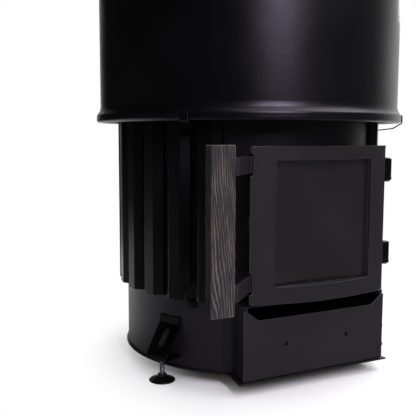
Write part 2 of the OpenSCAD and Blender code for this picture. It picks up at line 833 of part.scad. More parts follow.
// Each runner is bolted to the base plate, stands beside the ash box and carries it on a shelf
module drawer_runners() {
    x = box_w / 2 + seat;
    shelf_z = box_z - seat;
    back = box_l - apron_y + front_t + runner_over;
    color(steel) place() for (side = [0, 1]) mirror([side, 0, 0])
        translate([0, back, 0]) rotate([90, 0, 0]) linear_extrude(back + runner_front) {
            translate([x - runner_shelf, shelf_z - runner_t]) square([runner_shelf + runner_t, runner_t]);
            translate([x, base_top]) square([runner_t, shelf_z - base_top + runner_wall]);
            translate([x, base_top]) square([runner_shelf, runner_t]);
        }
}

// Feet
// A bracket is welded to the skirt by its upright flange, slopes out and is bent back under the foot's nut
module foot_bracket() {
    top = [ring_r + bracket_t, bracket_top_z - bracket_flange];
    low = [bracket_r, bracket_low_z + bracket_lip];
    path = [[top[0], bracket_top_z], top, low, [bracket_r, bracket_low_z], [ring_r + seat, bracket_low_z]];
    slope = low - top;
    lean = atan2(slope[0], -slope[1]);
    middle = top + slot_at * slope;
    difference() {
        across(bracket_w) sheet(path, -bracket_t);
        translate([0, -middle[0], middle[1]]) rotate([90 - lean, 0, 0])
            linear_extrude(6 * bracket_t, center = true) obround(slot_w, slot_l);
        translate([0, -foot_r, bracket_low_z - cut]) cylinder(r = stud_r + seat, h = bracket_t + 2 * cut);
        translate([0, 0, base_top]) cylinder(r = ring_r + seat / 2, h = bracket_top_z);
    }
}

module foot_brackets() {
    color(black) place() for (az = foot_azimuths) at_az(az) {
        foot_bracket();
        translate([0, -foot_r, bracket_low_z + bracket_t]) difference() {
            cylinder(r = hex_d / 2, h = nut_h, $fn = 6);
            translate([0, 0, -cut]) cylinder(r = stud_r + stud_clear, h = nut_h + 2 * cut);
        }
    }
}

// A stud stands in its pad's socket, with a hexagon to turn it by
module foot_stud(k) {
    color(zinc) place() at_az(foot_azimuths[k]) translate([0, -foot_r, 0]) {
        rotate_extrude()
            polygon([[0, stud_foot_z], [stud_r, stud_foot_z], [stud_r, stud_top_z - stud_tip],
                     [stud_r - stud_tip, stud_top_z], [0, stud_top_z]]);
        translate([0, 0, pad_h]) cylinder(r = hex_d / 2, h = stud_hex_h, $fn = 6);
    }
}

module foot_pad(k) {
    pad_edge = 1;
    color(iron) place() at_az(foot_azimuths[k]) translate([0, -foot_r, 0]) rotate_extrude() {
        polygon([[0, 0], [pad_d / 2 - pad_edge, 0], [pad_d / 2, pad_edge], [pad_d / 2, pad_t - pad_edge],
                 [pad_d / 2 - pad_edge, pad_t], [hex_d / 2 + 3, pad_h - pad_edge], [hex_d / 2, pad_h],
                 [stud_r, pad_h], [stud_r, stud_foot_z], [0, stud_foot_z]]);
    }
}

module foot_stud_1() { foot_stud(0); }
module foot_stud_2() { foot_stud(1); }
module foot_stud_3() { foot_stud(2); }
module foot_pad_1() { foot_pad(0); }
module foot_pad_2() { foot_pad(1); }
module foot_pad_3() { foot_pad(2); }

// Door collar, hinge lugs and pins, latch keeper
module door_collar() {
    color(black) place() difference() {
        upright(collar_front, collar_front - shell_r / 2) difference() {
            pane(-collar_half, collar_z0, collar_half, collar_z1, 5);
            door_mouth(1);
        }
        translate([0, 0, collar_z0 - cut])
            cylinder(r = shell_r + weld_gap, h = collar_z1 - collar_z0 + 2 * cut);
    }
}

// A lug is an eye round the hinge pin with a web back to the collar's side
module hinge_lugs() {
    root_y = collar_front - lug_set;
    eye_r = barrel_r + 0.5;
    web_r = 0.93 * eye_r;
    front_point = [hinge_x + web_r * cos(-115), web_r * sin(-115) - hinge_y];
    back_point = [hinge_x + web_r * cos(54), web_r * sin(54) - hinge_y];
    color(black) place() for (z = hinge_z) translate([0, 0, z]) linear_extrude(lug_t) difference() {
        union() {
            translate([hinge_x, -hinge_y]) circle(eye_r);
            polygon([[collar_half, -root_y], front_point, back_point, [collar_half, lug_root - root_y]]);
        }
        translate([hinge_x, -hinge_y]) circle(pin_r);
    }
}

module hinge_pins() {
    tip = 2;
    below = 3;
    head_h = 2;
    color(zinc) place() for (z = hinge_z)
        translate([hinge_x, -hinge_y, z]) {
            translate([0, 0, -below]) cylinder(r = pin_r, h = below + lug_t + barrel_h + tip);
            translate([0, 0, -head_h]) cylinder(r = pin_r + 1.5, h = head_h);
        }
}

// The latch keeper is a plate on the collar's side with a round bump that the tongue snaps past
module latch_keeper() {
    bump_x = keeper_bump + 0.5 - tongue_x;
    bump_y = 14 - collar_front;
    color(steel) place() translate([0, 0, latch_z - latch_w / 2 - keeper_over])
        linear_extrude(latch_w + 2 * keeper_over) {
            translate([-collar_half - latch_t, 4 - collar_front]) square([latch_t, keeper_d]);
            translate([bump_x, bump_y]) circle(keeper_bump);
            translate([bump_x, bump_y - keeper_bump]) square([latch_t, 2 * keeper_bump]);
        }
}

// Door
module bow_solid(r, z0, z1) {
    translate([0, bow_cy, z0]) cylinder(r = r, h = z1 - z0, $fn = 480);
}

module door_plate() {
    color(black) place() difference() {
        intersection() {
            bow_solid(door_bow_r, door_z, door_top);
            upright(door_front + cut, door_depth) pane(-door_half, door_z, door_half, door_top, 2);
        }
        bow_solid(back_r, door_z - cut, door_top + cut);
        upright(door_front + cut, door_depth) pane(-window_half, window_z0, window_half, window_z1, 2);
        for (z = strap_z)
            translate([-door_half - cut, -door_front, z - strap_notch_h / 2])
                cube([strap_notch_d + cut, door_depth, strap_notch_h]);
    }
}

module rope_ring(r) {
    for (x = [-1, 1])
        translate([x * seal_x, -seal_y, seal_z0]) cylinder(r = r, h = seal_z1 - seal_z0, $fn = 32);
    for (z = [seal_z0, seal_z1]) {
        translate([-seal_x, -seal_y, z]) rotate([0, 90, 0]) cylinder(r = r, h = 2 * seal_x, $fn = 32);
        for (x = [-1, 1]) translate([x * seal_x, -seal_y, z]) sphere(r, $fn = 32);
    }
}

module door_frame() {
    open_x = window_half + window_set;
    frame_x = seal_x + frame_edge;
    bed_x = glass_half + seat;
    color(black) place() difference() {
        intersection() {
            bow_solid(back_r, door_z, door_top);
            upright(door_front, door_front - frame_y)
                pane(-frame_x, seal_z0 - frame_edge, frame_x, seal_z1 + frame_edge, 3);
        }
        upright(door_front + cut, door_depth)
            pane(-open_x, window_z0 - window_set, open_x, window_z1 + window_set, 2);
        upright(gasket_y1, door_depth) pane(-bed_x, glass_z0 - seat, bed_x, glass_z1 + seat, 1);
        rope_ring(seal_bed_r);
        for (x = [-1, 1], z = glass_clip_z)
            translate([x * clip_screw_x, -frame_y - clip_screw_l, z]) rotate([-90, 0, 0])
                cylinder(r = clip_screw_r, h = clip_screw_l + cut);
    }
}

module glass_gasket() {
    color(rope) place() upright(gasket_y1, gasket_y1 - gasket_y0) difference() {
        pane(-glass_half, glass_z0, glass_half, glass_z1, 2);
        pane(gasket_w - glass_half, glass_z0 + gasket_w, glass_half - gasket_w, glass_z1 - gasket_w, 2);
    }
}

module door_glass() {
    color(glass) place() upright(gasket_y0, glass_t) pane(-glass_half, glass_z0, glass_half, glass_z1, 2);
}

// A glass clip is screwed to the inner frame beside the glass and reaches over the glass's edge
module glass_clips() {
    off = 3.5;
    color(steel) place() for (x = [-1, 1], z = glass_clip_z)
        translate([x * (clip_screw_x - off), 0, z]) upright(frame_y, glass_clip_t) difference() {
            rounded(12, 14, 2);
            translate([x * off, 0]) circle(clip_screw_r);
        }
}

module clip_screws() {
    color(zinc) place() for (x = [-1, 1], z = glass_clip_z)
        translate([x * clip_screw_x, -frame_y, z]) rotate([-90, 0, 0]) {
            translate([0, 0, -clip_screw_l]) cylinder(r = clip_screw_r, h = clip_screw_l + glass_clip_t);
            translate([0, 0, glass_clip_t]) cylinder(r = 2.4, h = 1.6);
        }
}

module door_seal() {
    color(rope) place() rope_ring(seal_r);
}

// A hinge barrel with the leaf that joins it to the back of the door plate
module hinge_barrels() {
    leaf_t = 3.5;
    edge_x = door_half - 0.5;
    path = [[leaf_x, bow_y(leaf_x, back_r)], [edge_x, bow_y(edge_x, back_r)], [hinge_x, -hinge_y - barrel_r]];
    color(black) place() for (z = hinge_z)
        translate([0, 0, z + lug_t + seat]) linear_extrude(barrel_h) difference() {
            union() {
                sheet(path, leaf_t);
                translate([hinge_x, -hinge_y]) circle(barrel_r);
            }
            translate([hinge_x, -hinge_y]) circle(pin_r + pin_clear);
        }
}

// The latch tongue is a bent strip: a foot welded behind the door plate and an arm that reaches back
module latch_tongue() {
    foot = 9;
    reach = 16;
    root_x = tongue_x + foot;
    path = [[-root_x, bow_y(root_x, back_r)], [-tongue_x, bow_y(tongue_x, back_r)],
            [-tongue_x, reach - collar_front]];
    color(steel) place() translate([0, 0, latch_z - latch_w / 2]) linear_extrude(latch_w)
        sheet(path, latch_t);
}

// A strap is welded behind the door plate, comes out through the notch and runs behind the bar
module handle_straps() {
    rise = bar_back + bow_y(strap_bend_x, back_r);
    path = [[strap_end - bar_x, -bar_back], [-strap_bend_x - rise, -bar_back],
            [-strap_bend_x, bow_y(strap_bend_x, back_r)], [-leaf_x, bow_y(leaf_x, back_r)]];
    color(black) place() for (z = strap_z) difference() {
        translate([0, 0, z - strap_w / 2]) linear_extrude(strap_w) sheet(path, strap_t);
        for (k = [-1, 1])
            translate([k * handle_screw_pitch / 2 - handle_screw_x, cut - bar_back + strap_t, z])
                rotate([90, 0, 0]) cylinder(r = handle_screw_r, h = strap_t + 2 * cut);
    }
}

module handle_bar() {
    x = bar_w / 2;
    hole = handle_screw_l + cut;
    color(wood) place() translate([-handle_screw_x, bar_t / 2 - bar_front, bar_z]) difference() {
        intersection() {
            linear_extrude(bar_h) rounded(bar_w, bar_t, bar_edge_r);
            translate([0, bar_t, 0]) rotate([90, 0, 0]) linear_extrude(2 * bar_t)
                polygon([[-x, bar_chamfer], [bar_chamfer - x, 0], [x - bar_chamfer, 0], [x, bar_chamfer],
                         [x, bar_h - bar_chamfer], [x - bar_chamfer, bar_h], [bar_chamfer - x, bar_h],
                         [-x, bar_h - bar_chamfer]]);
        }
        for (z = strap_z, k = [-1, 1])
            translate([k * handle_screw_pitch / 2, bar_t / 2 + cut, z - bar_z]) rotate([90, 0, 0])
                cylinder(r = handle_screw_r, h = hole + cut);
    }
}

module handle_screws() {
    color(zinc) place() for (z = strap_z, k = [-1, 1])
        translate([k * handle_screw_pitch / 2 - handle_screw_x, strap_t - bar_back, z]) rotate([90, 0, 0]) {
            cylinder(r = handle_screw_r, h = strap_t + handle_screw_l);
            translate([0, 0, -handle_head_h]) cylinder(r = handle_head_r, h = handle_head_h);
        }
}

// Ash drawer
box_w = 2 * (-bend[0] - box_side);
grip_top = apron_half_w - grip_end;
grip_low = grip_top - grip_slant;

module ash_box() {
    front = apron_y - front_t;
    color(steel) place() difference() {
        translate([-box_w / 2, -front, box_z]) cube([box_w, box_l, box_h]);
        translate([box_t - box_w / 2, box_t - front, box_z + box_t])
            cube([box_w - 2 * box_t, box_l - 2 * box_t, box_h]);
        for (x = [-1, 1]) translate([x * front_screw_x, box_t + cut - front, front_screw_z])
            rotate([90, 0, 0]) cylinder(r = front_screw_r, h = box_t + 2 * cut);
    }
}

module drawer_front() {
    color(black) place() difference() {
        upright(apron_y, front_t) polygon([
            [-apron_half_w, front_z], [apron_half_w, front_z], [apron_half_w, front_top_z],
            [grip_top, front_top_z], [grip_low, grip_z], [-grip_low, grip_z],
            [-grip_top, front_top_z], [-apron_half_w, front_top_z]
        ]);
        for (x = [-1, 1]) translate([x * front_screw_x, cut - apron_y + front_t, front_screw_z])
            rotate([90, 0, 0]) {
                cylinder(r = front_screw_r, h = front_t + 2 * cut);
                translate([0, 0, cut + front_t - front_head_h])
                    cylinder(r = front_head_r + 0.1, h = front_head_h + cut);
            }
    }
}

module drawer_screws() {
    front_screw_l = 6;
    socket_r = 2;
    socket_h = 1.1;
    color(steel) place() for (x = [-1, 1])
        translate([x * front_screw_x, front_head_h - apron_y, front_screw_z]) rotate([90, 0, 0])
            difference() {
                union() {
                    cylinder(r = front_head_r, h = front_head_h);
                    translate([0, 0, -front_screw_l]) cylinder(r = front_screw_r, h = front_screw_l);
                }
                translate([0, 0, front_head_h - socket_h])
                    cylinder(r = socket_r, h = socket_h + cut, $fn = 6);
            }
}

drum_shell();
drum_floor();
drum_gussets();
firebox_shell();
firebox_floor();
fire_grate();
baffle_plate();
baffle_rests();
firebox_top();
flue_pipe();
flute_wrap();
wrap_clips();
wrap_tabs();
front_panel();
base_plate();
base_ring();
apron_left();
apron_right();
apron_top();
drawer_runners();
foot_brackets();
door_collar();
hinge_lugs();
hinge_pins();
latch_keeper();
door_plate();
door_frame();
glass_gasket();
door_glass();
glass_clips();
clip_screws();
door_seal();
hinge_barrels();
latch_tongue();
handle_straps();
handle_bar();
handle_screws();
ash_box();
drawer_front();
drawer_screws();
foot_stud_1();
foot_stud_2();
foot_stud_3();
foot_pad_1();
foot_pad_2();
foot_pad_3();
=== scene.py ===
# Wood-burning sauna stove: finishes, edges, wood grain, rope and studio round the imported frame.
# Metres, +Z up, in the same frame as the CAD.
import json
import math

import bmesh
import bpy
from mathutils import Matrix, Vector, noise

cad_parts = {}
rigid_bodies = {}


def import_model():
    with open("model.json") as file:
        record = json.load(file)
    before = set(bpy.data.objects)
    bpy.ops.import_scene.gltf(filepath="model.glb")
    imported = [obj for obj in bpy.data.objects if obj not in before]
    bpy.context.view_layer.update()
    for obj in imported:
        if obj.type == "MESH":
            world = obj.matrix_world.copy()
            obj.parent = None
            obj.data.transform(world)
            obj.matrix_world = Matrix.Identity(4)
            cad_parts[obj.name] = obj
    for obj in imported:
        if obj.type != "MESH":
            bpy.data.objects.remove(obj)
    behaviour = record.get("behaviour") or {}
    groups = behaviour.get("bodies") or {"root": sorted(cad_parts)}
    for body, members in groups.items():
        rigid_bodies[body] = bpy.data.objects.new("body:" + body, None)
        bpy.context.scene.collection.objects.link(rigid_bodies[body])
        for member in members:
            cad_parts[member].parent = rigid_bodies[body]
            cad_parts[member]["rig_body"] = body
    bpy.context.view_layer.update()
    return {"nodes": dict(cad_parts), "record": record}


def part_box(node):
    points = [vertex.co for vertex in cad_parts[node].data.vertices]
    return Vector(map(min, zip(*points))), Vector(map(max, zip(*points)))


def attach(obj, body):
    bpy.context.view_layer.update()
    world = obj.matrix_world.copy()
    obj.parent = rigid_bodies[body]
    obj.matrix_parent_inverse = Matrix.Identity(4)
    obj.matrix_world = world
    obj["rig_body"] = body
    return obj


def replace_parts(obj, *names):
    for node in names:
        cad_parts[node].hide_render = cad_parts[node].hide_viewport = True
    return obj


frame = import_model()
scene = bpy.context.scene
scene.view_settings.view_transform = "Standard"

MM = 0.001
WHITE = (1.0, 1.0, 1.0)

# The photograph's camera
CAMERA_PLACE = (-0.63425, -1.08294, 0.40217)
CAMERA_YAW = math.radians(-26.842)
CAMERA_TILT = math.radians(83.753)
CAMERA_ROLL = math.radians(0.143)
SENSOR_WIDTH = 36.0
FOCAL_LENGTH = 57.92

# Floor: a disc of white paper. Its shade fades to plain white between two distances from a middle.
FLOOR_RADIUS = 1.3
FLOOR_SIDES = 96
FLOOR_MIDDLE = (-0.5, 0.0, 0.0)
SHADE_MIDDLE = (0.12, -0.06, 0.0)
SHADE_FADE = (0.27, 0.46)
PAPER_WHITE = 0.92
PAPER_MOTTLE = 0.01
PAPER_FIBRES = 300.0
PAPER_ROUGHNESS = 0.9
PAPER_SPECULAR = 0.1

# The paper as the gloss sees it: duller in front of the stove than behind it, with a fade along Y
GLOSS_PAPER = 0.18
GLOSS_PAPER_BEHIND = 0.85
GLOSS_PAPER_FADE = (0.0, 0.3)

# The room as the gloss sees it. Each fade is over one axis of the direction looked in.
DARK_ROOM = 0.008
SIDE_ROOM = 0.09
BACKDROP_FADE_Y = (-0.1, 0.3)
BACKDROP_FADE_X = (-0.05, 0.15)
SIDE_FADE_Y = (0.3, -0.1)
SIDE_FADE_X = (-0.05, 0.2)

# Strength of the even light from all round
FILL = 0.6

# Softboxes: place, aim, size, radiance, colour
SOFTBOXES = {
    "front_softbox": ((-0.27, -2.25, 1.75), (0.0, -0.25, 0.6), (0.25, 1.3), 35.0, (0.93, 0.88, 1.0)),
    "right_softbox": ((1.0, -0.3, 2.6), (0.1, 0.0, 0.4), (2.4, 2.6), 3.0, WHITE),
    "back_softbox": ((1.9, 1.3, 1.6), (0.0, 0.0, 0.5), (0.5, 1.3), 9.0, WHITE),
}


# Node helpers

def node_tree(name):
    """A new material with its Principled shader."""
    material = bpy.data.materials.new(name)
    material.use_nodes = True
    return material, material.node_tree, material.node_tree.nodes["Principled BSDF"]


def coordinates(tree):
    return tree.nodes.new("ShaderNodeTexCoord").outputs["Object"]


def axes(tree, vector):
    """The X, Y and Z of a vector."""
    node = tree.nodes.new("ShaderNodeSeparateXYZ")
    tree.links.new(vector, node.inputs[0])
    return node.outputs


def attribute(tree, name):
    """A value that the mesh stores at its points."""
    node = tree.nodes.new("ShaderNodeAttribute")
    node.attribute_name = name
    return node.outputs["Fac"]


def stretched(tree, vector, scale):
    """The coordinates scaled along each axis."""
    mapping = tree.nodes.new("ShaderNodeMapping")
    mapping.inputs["Scale"].default_value = scale
    tree.links.new(vector, mapping.inputs["Vector"])
    return mapping.outputs["Vector"]


def noise_at(tree, vector, scale, detail=3.0, roughness=0.55):
    texture = tree.nodes.new("ShaderNodeTexNoise")
    texture.inputs["Scale"].default_value = scale
    texture.inputs["Detail"].default_value = detail
    texture.inputs["Roughness"].default_value = roughness
    texture.inputs["Distortion"].default_value = 0.1
    tree.links.new(vector, texture.inputs["Vector"])
    return texture.outputs["Fac"]


def cells_at(tree, vector, scale):
    texture = tree.nodes.new("ShaderNodeTexVoronoi")
    texture.inputs["Scale"].default_value = scale
    tree.links.new(vector, texture.inputs["Vector"])
    return texture.outputs["Distance"]


def colour4(value):
    if isinstance(value, (int, float)):
        return (value, value, value, 1.0)
    return (*value, 1.0)


def ramp(tree, value, low, high, at=(0.0, 1.0)):
    """Colours or greys blended between two stops."""
    node = tree.nodes.new("ShaderNodeValToRGB")
    for stop, position, colour in zip(node.color_ramp.elements, at, (low, high)):
        stop.position = position
        stop.color = colour4(colour)
    tree.links.new(value, node.inputs["Fac"])
    return node.outputs["Color"]


def bump(tree, height, distance, strength=1.0, normal=None):
    node = tree.nodes.new("ShaderNodeBump")
    node.inputs["Strength"].default_value = strength
    node.inputs["Distance"].default_value = distance
    tree.links.new(height, node.inputs["Height"])
    if normal is not None:
        tree.links.new(normal, node.inputs["Normal"])
    return node.outputs["Normal"]


def stepped(tree, value, start, end, low=0.0, high=1.0):
    """A smooth step of a value between start and end."""
    node = tree.nodes.new("ShaderNodeMapRange")
    node.interpolation_type = "SMOOTHSTEP"
    node.inputs["From Min"].default_value = start
    node.inputs["From Max"].default_value = end
    node.inputs["To Min"].default_value = low
    node.inputs["To Max"].default_value = high
    tree.links.new(value, node.inputs["Value"])
    return node.outputs["Result"]


def combined(tree, operation, a, b):
    """Arithmetic on two sockets, or on a socket and a number."""
    node = tree.nodes.new("ShaderNodeMath")
    node.operation = operation
    for socket, value in zip(node.inputs, (a, b)):
        if isinstance(value, bpy.types.NodeSocket):
            tree.links.new(value, socket)
        else:
            socket.default_value = value
    return node.outputs[0]


def mixed(tree, share, first, second):
    """One shader turning into another as the share goes from 0 to 1."""
    node = tree.nodes.new("ShaderNodeMixShader")
    for socket, value in zip(node.inputs, (share, first, second)):
        tree.links.new(value, socket)
    return node.outputs["Shader"]


# Materials

# The part of a noise's range where a finish goes from one look to the other
WIDE_MIX = (0.3, 0.7)
NARROW_MIX = (0.35, 0.65)

# Paint: its patches per metre and how their roughness differs, and the second grain against the first
PATCH_SCALE = 7.0
SHINIER = 0.03
DULLER = 0.04
FINE_GRAIN = 2.3
FINE_DEPTH = 0.3
FINE_STRENGTH = 0.6


def painted_steel(name, dark, light, roughness, grain, depth, specular, tint=WHITE):
    """Stove paint on sheet steel: a fine grain, with broad patches that are a little duller."""
    material, tree, shader = node_tree(name)
    where = coordinates(tree)
    patches = noise_at(tree, where, PATCH_SCALE, detail=2.0)
    tree.links.new(ramp(tree, patches, dark, light, WIDE_MIX), shader.inputs["Base Color"])
    dull = ramp(tree, patches, roughness - SHINIER, roughness + DULLER, WIDE_MIX)
    tree.links.new(dull, shader.inputs["Roughness"])
    first = bump(tree, noise_at(tree, where, grain, detail=2.0, roughness=0.6), depth)
    fine = cells_at(tree, where, grain * FINE_GRAIN)
    normal = bump(tree, fine, depth * FINE_DEPTH, FINE_STRENGTH, first)
    tree.links.new(normal, shader.inputs["Normal"])
    shader.inputs["Specular IOR Level"].default_value = specular
    shader.inputs["Specular Tint"].default_value = colour4(tint)
    return material


# Wood: the colours and roughnesses of its low and high lines, its fibres, and clouds of stronger brushing
CHAR = (0.021, 0.0175, 0.0215)
BARE_WOOD = (0.158, 0.120, 0.102)
CHAR_MIX = (0.12, 0.88)
CHAR_ROUGHNESS = 0.82
BARE_ROUGHNESS = 0.58
FIBRE_SCALE = (1500.0, 1500.0, 60.0)
FIBRE_DEPTH = 0.12 * MM
CLOUD_SCALE = (60.0, 60.0, 18.0)


def charred_wood(name):
    """Charred softwood, scoured by brushing. The mesh stores each point's height, and a painted shade that
    darkens the bar's sides, back and end grain.
    """
    material, tree, shader = node_tree(name)
    where = coordinates(tree)
    fibre = noise_at(tree, stretched(tree, where, FIBRE_SCALE), 1.0, roughness=0.6)
    cloud = noise_at(tree, stretched(tree, where, CLOUD_SCALE), 1.0)
    clouded = stepped(tree, cloud, 0.3, 0.62, low=0.35, high=1.0)
    lightened = combined(tree, "MULTIPLY", attribute(tree, "ridge"), clouded)
    streaked = combined(tree, "MULTIPLY", lightened, stepped(tree, fibre, 0.25, 0.7, low=0.55, high=1.15))
    # The colour is scaled down by the painted shade on the bar's sides, back and end grain.
    shaded_colour = tree.nodes.new("ShaderNodeVectorMath")
    shaded_colour.operation = "SCALE"
    tree.links.new(ramp(tree, streaked, CHAR, BARE_WOOD, CHAR_MIX), shaded_colour.inputs[0])
    tree.links.new(attribute(tree, "painted_shade_scale"), shaded_colour.inputs["Scale"])
    tree.links.new(shaded_colour.outputs[0], shader.inputs["Base Color"])
    tree.links.new(ramp(tree, streaked, CHAR_ROUGHNESS, BARE_ROUGHNESS), shader.inputs["Roughness"])
    tree.links.new(bump(tree, fibre, FIBRE_DEPTH, strength=0.8), shader.inputs["Normal"])
    shader.inputs["Specular IOR Level"].default_value = 0.3
    return material


def bare_metal(name, colour, roughness, scale):
    """Plated or rolled metal, with a fine cloud of duller spots."""
    material, tree, shader = node_tree(name)
    cloud = noise_at(tree, coordinates(tree), scale, detail=4.0, roughness=0.6)
    spots = tuple(0.72 * channel for channel in colour)
    tree.links.new(ramp(tree, cloud, spots, colour, NARROW_MIX), shader.inputs["Base Color"])
    tree.links.new(ramp(tree, cloud, roughness + 0.14, roughness, WIDE_MIX), shader.inputs["Roughness"])
    tree.links.new(bump(tree, cloud, 0.04 * MM), shader.inputs["Normal"])
    shader.inputs["Metallic"].default_value = 1.0
    return material


def rough_iron(name, dark, light, roughness, scale, depth):
    """Cast iron or scaled hot plate."""
    material, tree, shader = node_tree(name)
    where = coordinates(tree)
    cloud = noise_at(tree, where, scale * 0.1)
    tree.links.new(ramp(tree, cloud, dark, light, NARROW_MIX), shader.inputs["Base Color"])
    tree.links.new(ramp(tree, cloud, roughness, roughness + 0.12), shader.inputs["Roughness"])
    pits = noise_at(tree, where, scale, detail=5.0, roughness=0.65)
    tree.links.new(bump(tree, pits, depth), shader.inputs["Normal"])
    shader.inputs["Metallic"].default_value = 0.4
    return material


def glass_fibre(name):
    """Woven rope and tape."""
    material, tree, shader = node_tree(name)
    strands = noise_at(tree, coordinates(tree), 900.0)
    colour = ramp(tree, strands, (0.02, 0.02, 0.021), (0.10, 0.10, 0.105), WIDE_MIX)
    tree.links.new(colour, shader.inputs["Base Color"])
    tree.links.new(bump(tree, strands, 0.4 * MM), shader.inputs["Normal"])
    shader.inputs["Roughness"].default_value = 0.85
    return material


def ceramic_glass(name):
    """Dark ceramic glass with a faint film of soot behind it."""
    material, tree, shader = node_tree(name)
    soot = noise_at(tree, coordinates(tree), 11.0)
    film = ramp(tree, soot, (0.0122, 0.0096, 0.0112), (0.0148, 0.0116, 0.0138), WIDE_MIX)
    tree.links.new(film, shader.inputs["Base Color"])
    tree.links.new(ramp(tree, soot, 0.10, 0.16), shader.inputs["Roughness"])
    shader.inputs["Specular IOR Level"].default_value = 0.5
    return material


# Paints: darkest and lightest colour, roughness, grain per metre and its depth, specular level, gloss tint
PAINTS = {
    "drum_paint": (0.0004, 0.0007, 0.31, 560.0, 0.30 * MM, 0.5, (0.90, 0.85, 1.0)),
    "sheet_paint": ((0.0007, 0.0005, 0.0009), (0.0014, 0.0011, 0.0018), 0.31, 800.0, 0.08 * MM, 0.24),
    # Much lighter paint for the casing's bends: a painted highlight along the folds.
    "fold_highlight_paint": ((0.0075, 0.0068, 0.0082), (0.0105, 0.0095, 0.0115), 0.36, 800.0, 0.04 * MM, 0.3),
    # Darker than the lower paint: painted shade for the front panel, recessed under the drum's overhang and
    # behind the handle.
    "panel_painted_shade": ((0.0040, 0.0030, 0.0048), (0.0052, 0.0040, 0.0060), 0.42, 800.0, 0.08 * MM, 0.25),
    "lower_paint": ((0.0074, 0.0060, 0.0086), (0.0088, 0.0072, 0.0100), 0.42, 800.0, 0.08 * MM, 0.25),
    # A little lighter than the lower paint: painted light standing in for the bounce from the white floor.
    "skirt_painted_bounce": ((0.0084, 0.0068, 0.0094), (0.0101, 0.0083, 0.0112), 0.42, 800.0, 0.08 * MM, 0.35),
    "drawer_paint": ((0.0140, 0.0103, 0.0150), (0.0166, 0.0126, 0.0178), 0.5, 700.0, 0.12 * MM, 0.25),
    "door_paint": ((0.0122, 0.0101, 0.0143), (0.0148, 0.0126, 0.0170), 0.5, 700.0, 0.12 * MM, 0.25),
    # Lighter paint for rounded edges: part wear, part painted highlight where the edges catch the light.
    "edge_paint_wear_and_highlight": ((0.015, 0.014, 0.016), (0.034, 0.031, 0.035), 0.36, 700.0, 0.04 * MM, 0.5),
    "weld_paint": (0.003, 0.006, 0.34, 1400.0, 0.08 * MM, 0.4),
    "screw_paint": (0.0015, 0.003, 0.38, 1400.0, 0.04 * MM, 0.3),
    "pad_plastic": (0.003, 0.005, 0.32, 1500.0, 0.02 * MM, 0.25),
}

# Bare metals: colour, roughness, spots per metre
METALS = {
    "zinc_plate": ((0.62, 0.64, 0.68), 0.24, 600.0),
    "blackened_steel": ((0.10, 0.10, 0.11), 0.38, 500.0),
}

# Iron and hot plate: darkest and lightest colour, roughness, pits per metre, the pits' depth
IRONS = {
    "cast_iron": ((0.010, 0.010, 0.011), (0.022, 0.021, 0.022), 0.55, 900.0, 0.20 * MM),
    "hot_plate": ((0.018, 0.016, 0.015), (0.045, 0.040, 0.038), 0.6, 700.0, 0.12 * MM),
}

MATERIALS = {name: painted_steel(name, *values) for name, values in PAINTS.items()}
MATERIALS.update({name: bare_metal(name, *values) for name, values in METALS.items()})
MATERIALS.update({name: rough_iron(name, *values) for name, values in IRONS.items()})
MATERIALS["glass_fibre"] = glass_fibre("glass_fibre")
MATERIALS["ceramic_glass"] = ceramic_glass("ceramic_glass")
MATERIALS["charred_wood"] = charred_wood("charred_wood")

# The CAD nodes that each material is for
WEARERS = {
    "drum_paint": ("drum_shell", "drum_floor", "drum_gussets"),
    "sheet_paint": ("flute_wrap", "wrap_clips", "wrap_tabs", "foot_brackets", "door_collar", "door_frame",
                    "hinge_lugs", "hinge_barrels"),
    # The front panel's paint carries painted shade.
    "panel_painted_shade": ("front_panel",),
    "lower_paint": ("base_plate", "apron_left", "apron_right", "apron_top"),
    # The skirt's paint carries painted bounce light from the floor.
    "skirt_painted_bounce": ("base_ring",),
    "drawer_paint": ("drawer_front",),
    "door_paint": ("door_plate", "handle_straps"),
    "screw_paint": ("drawer_screws",),
    "pad_plastic": ("foot_pad_1", "foot_pad_2", "foot_pad_3"),
    "zinc_plate": ("hinge_pins", "clip_screws", "foot_stud_1", "foot_stud_2", "foot_stud_3"),
    "blackened_steel": ("latch_keeper", "latch_tongue", "glass_clips", "handle_screws"),
    "cast_iron": ("fire_grate",),
    "hot_plate": ("firebox_shell", "firebox_floor", "firebox_top", "baffle_plate", "baffle_rests",
                  "flue_pipe", "drawer_runners", "ash_box"),
    "glass_fibre": ("glass_gasket", "door_seal"),
    "ceramic_glass": ("door_glass",),
    "charred_wood": ("handle_bar",),
}
FINISHES = {node: MATERIALS[name] for name, nodes in WEARERS.items() for node in nodes}
for node_name, finish in FINISHES.items():
    for material_slot in frame["nodes"][node_name].material_slots:
        material_slot.material = finish


# Sizes of the pieces

SLOTS = {part["node"]: part["material_slot"] for part in frame["record"]["subparts"]}

# Points nearer than this are merged, in a copied node and in the wooden bar. Faces this flat are joined.
NODE_POINT = 0.002 * MM
SAME_POINT = 0.03 * MM
FLAT_ANGLE = math.radians(0.05)

# Edges sharper than this, in degrees, stay sharp in the shading
WRAP_CREASE = 33
SCREW_CREASE = 40
STUD_CREASE = 38

# Widths of the rounded edges, in millimetres, and the nodes whose rounds get a lighter, glossier paint: part
# wear, part painted highlight where the edges catch the light
EDGES = {
    "door_plate": 0.9, "drawer_front": 0.8, "apron_left": 0.4, "apron_right": 0.4, "apron_top": 0.4,
    "base_plate": 0.6, "foot_brackets": 0.6, "handle_straps": 0.5, "wrap_clips": 0.25, "front_panel": 0.3,
    "hinge_barrels": 0.5, "foot_pad_1": 0.4, "foot_pad_2": 0.4, "foot_pad_3": 0.4,
}
EDGES_WITH_WEAR_AND_HIGHLIGHT = ("door_plate", "drawer_front", "handle_straps", "wrap_clips")
EDGE_ANGLE = math.radians(30)

# Folds of the casing
FOLD_WIDTH = 1.2 * MM
FOLD_ANGLE = math.radians(20)
UPRIGHT_DRIFT = 0.01 * MM
WIDE_FACE = 3.0 * MM

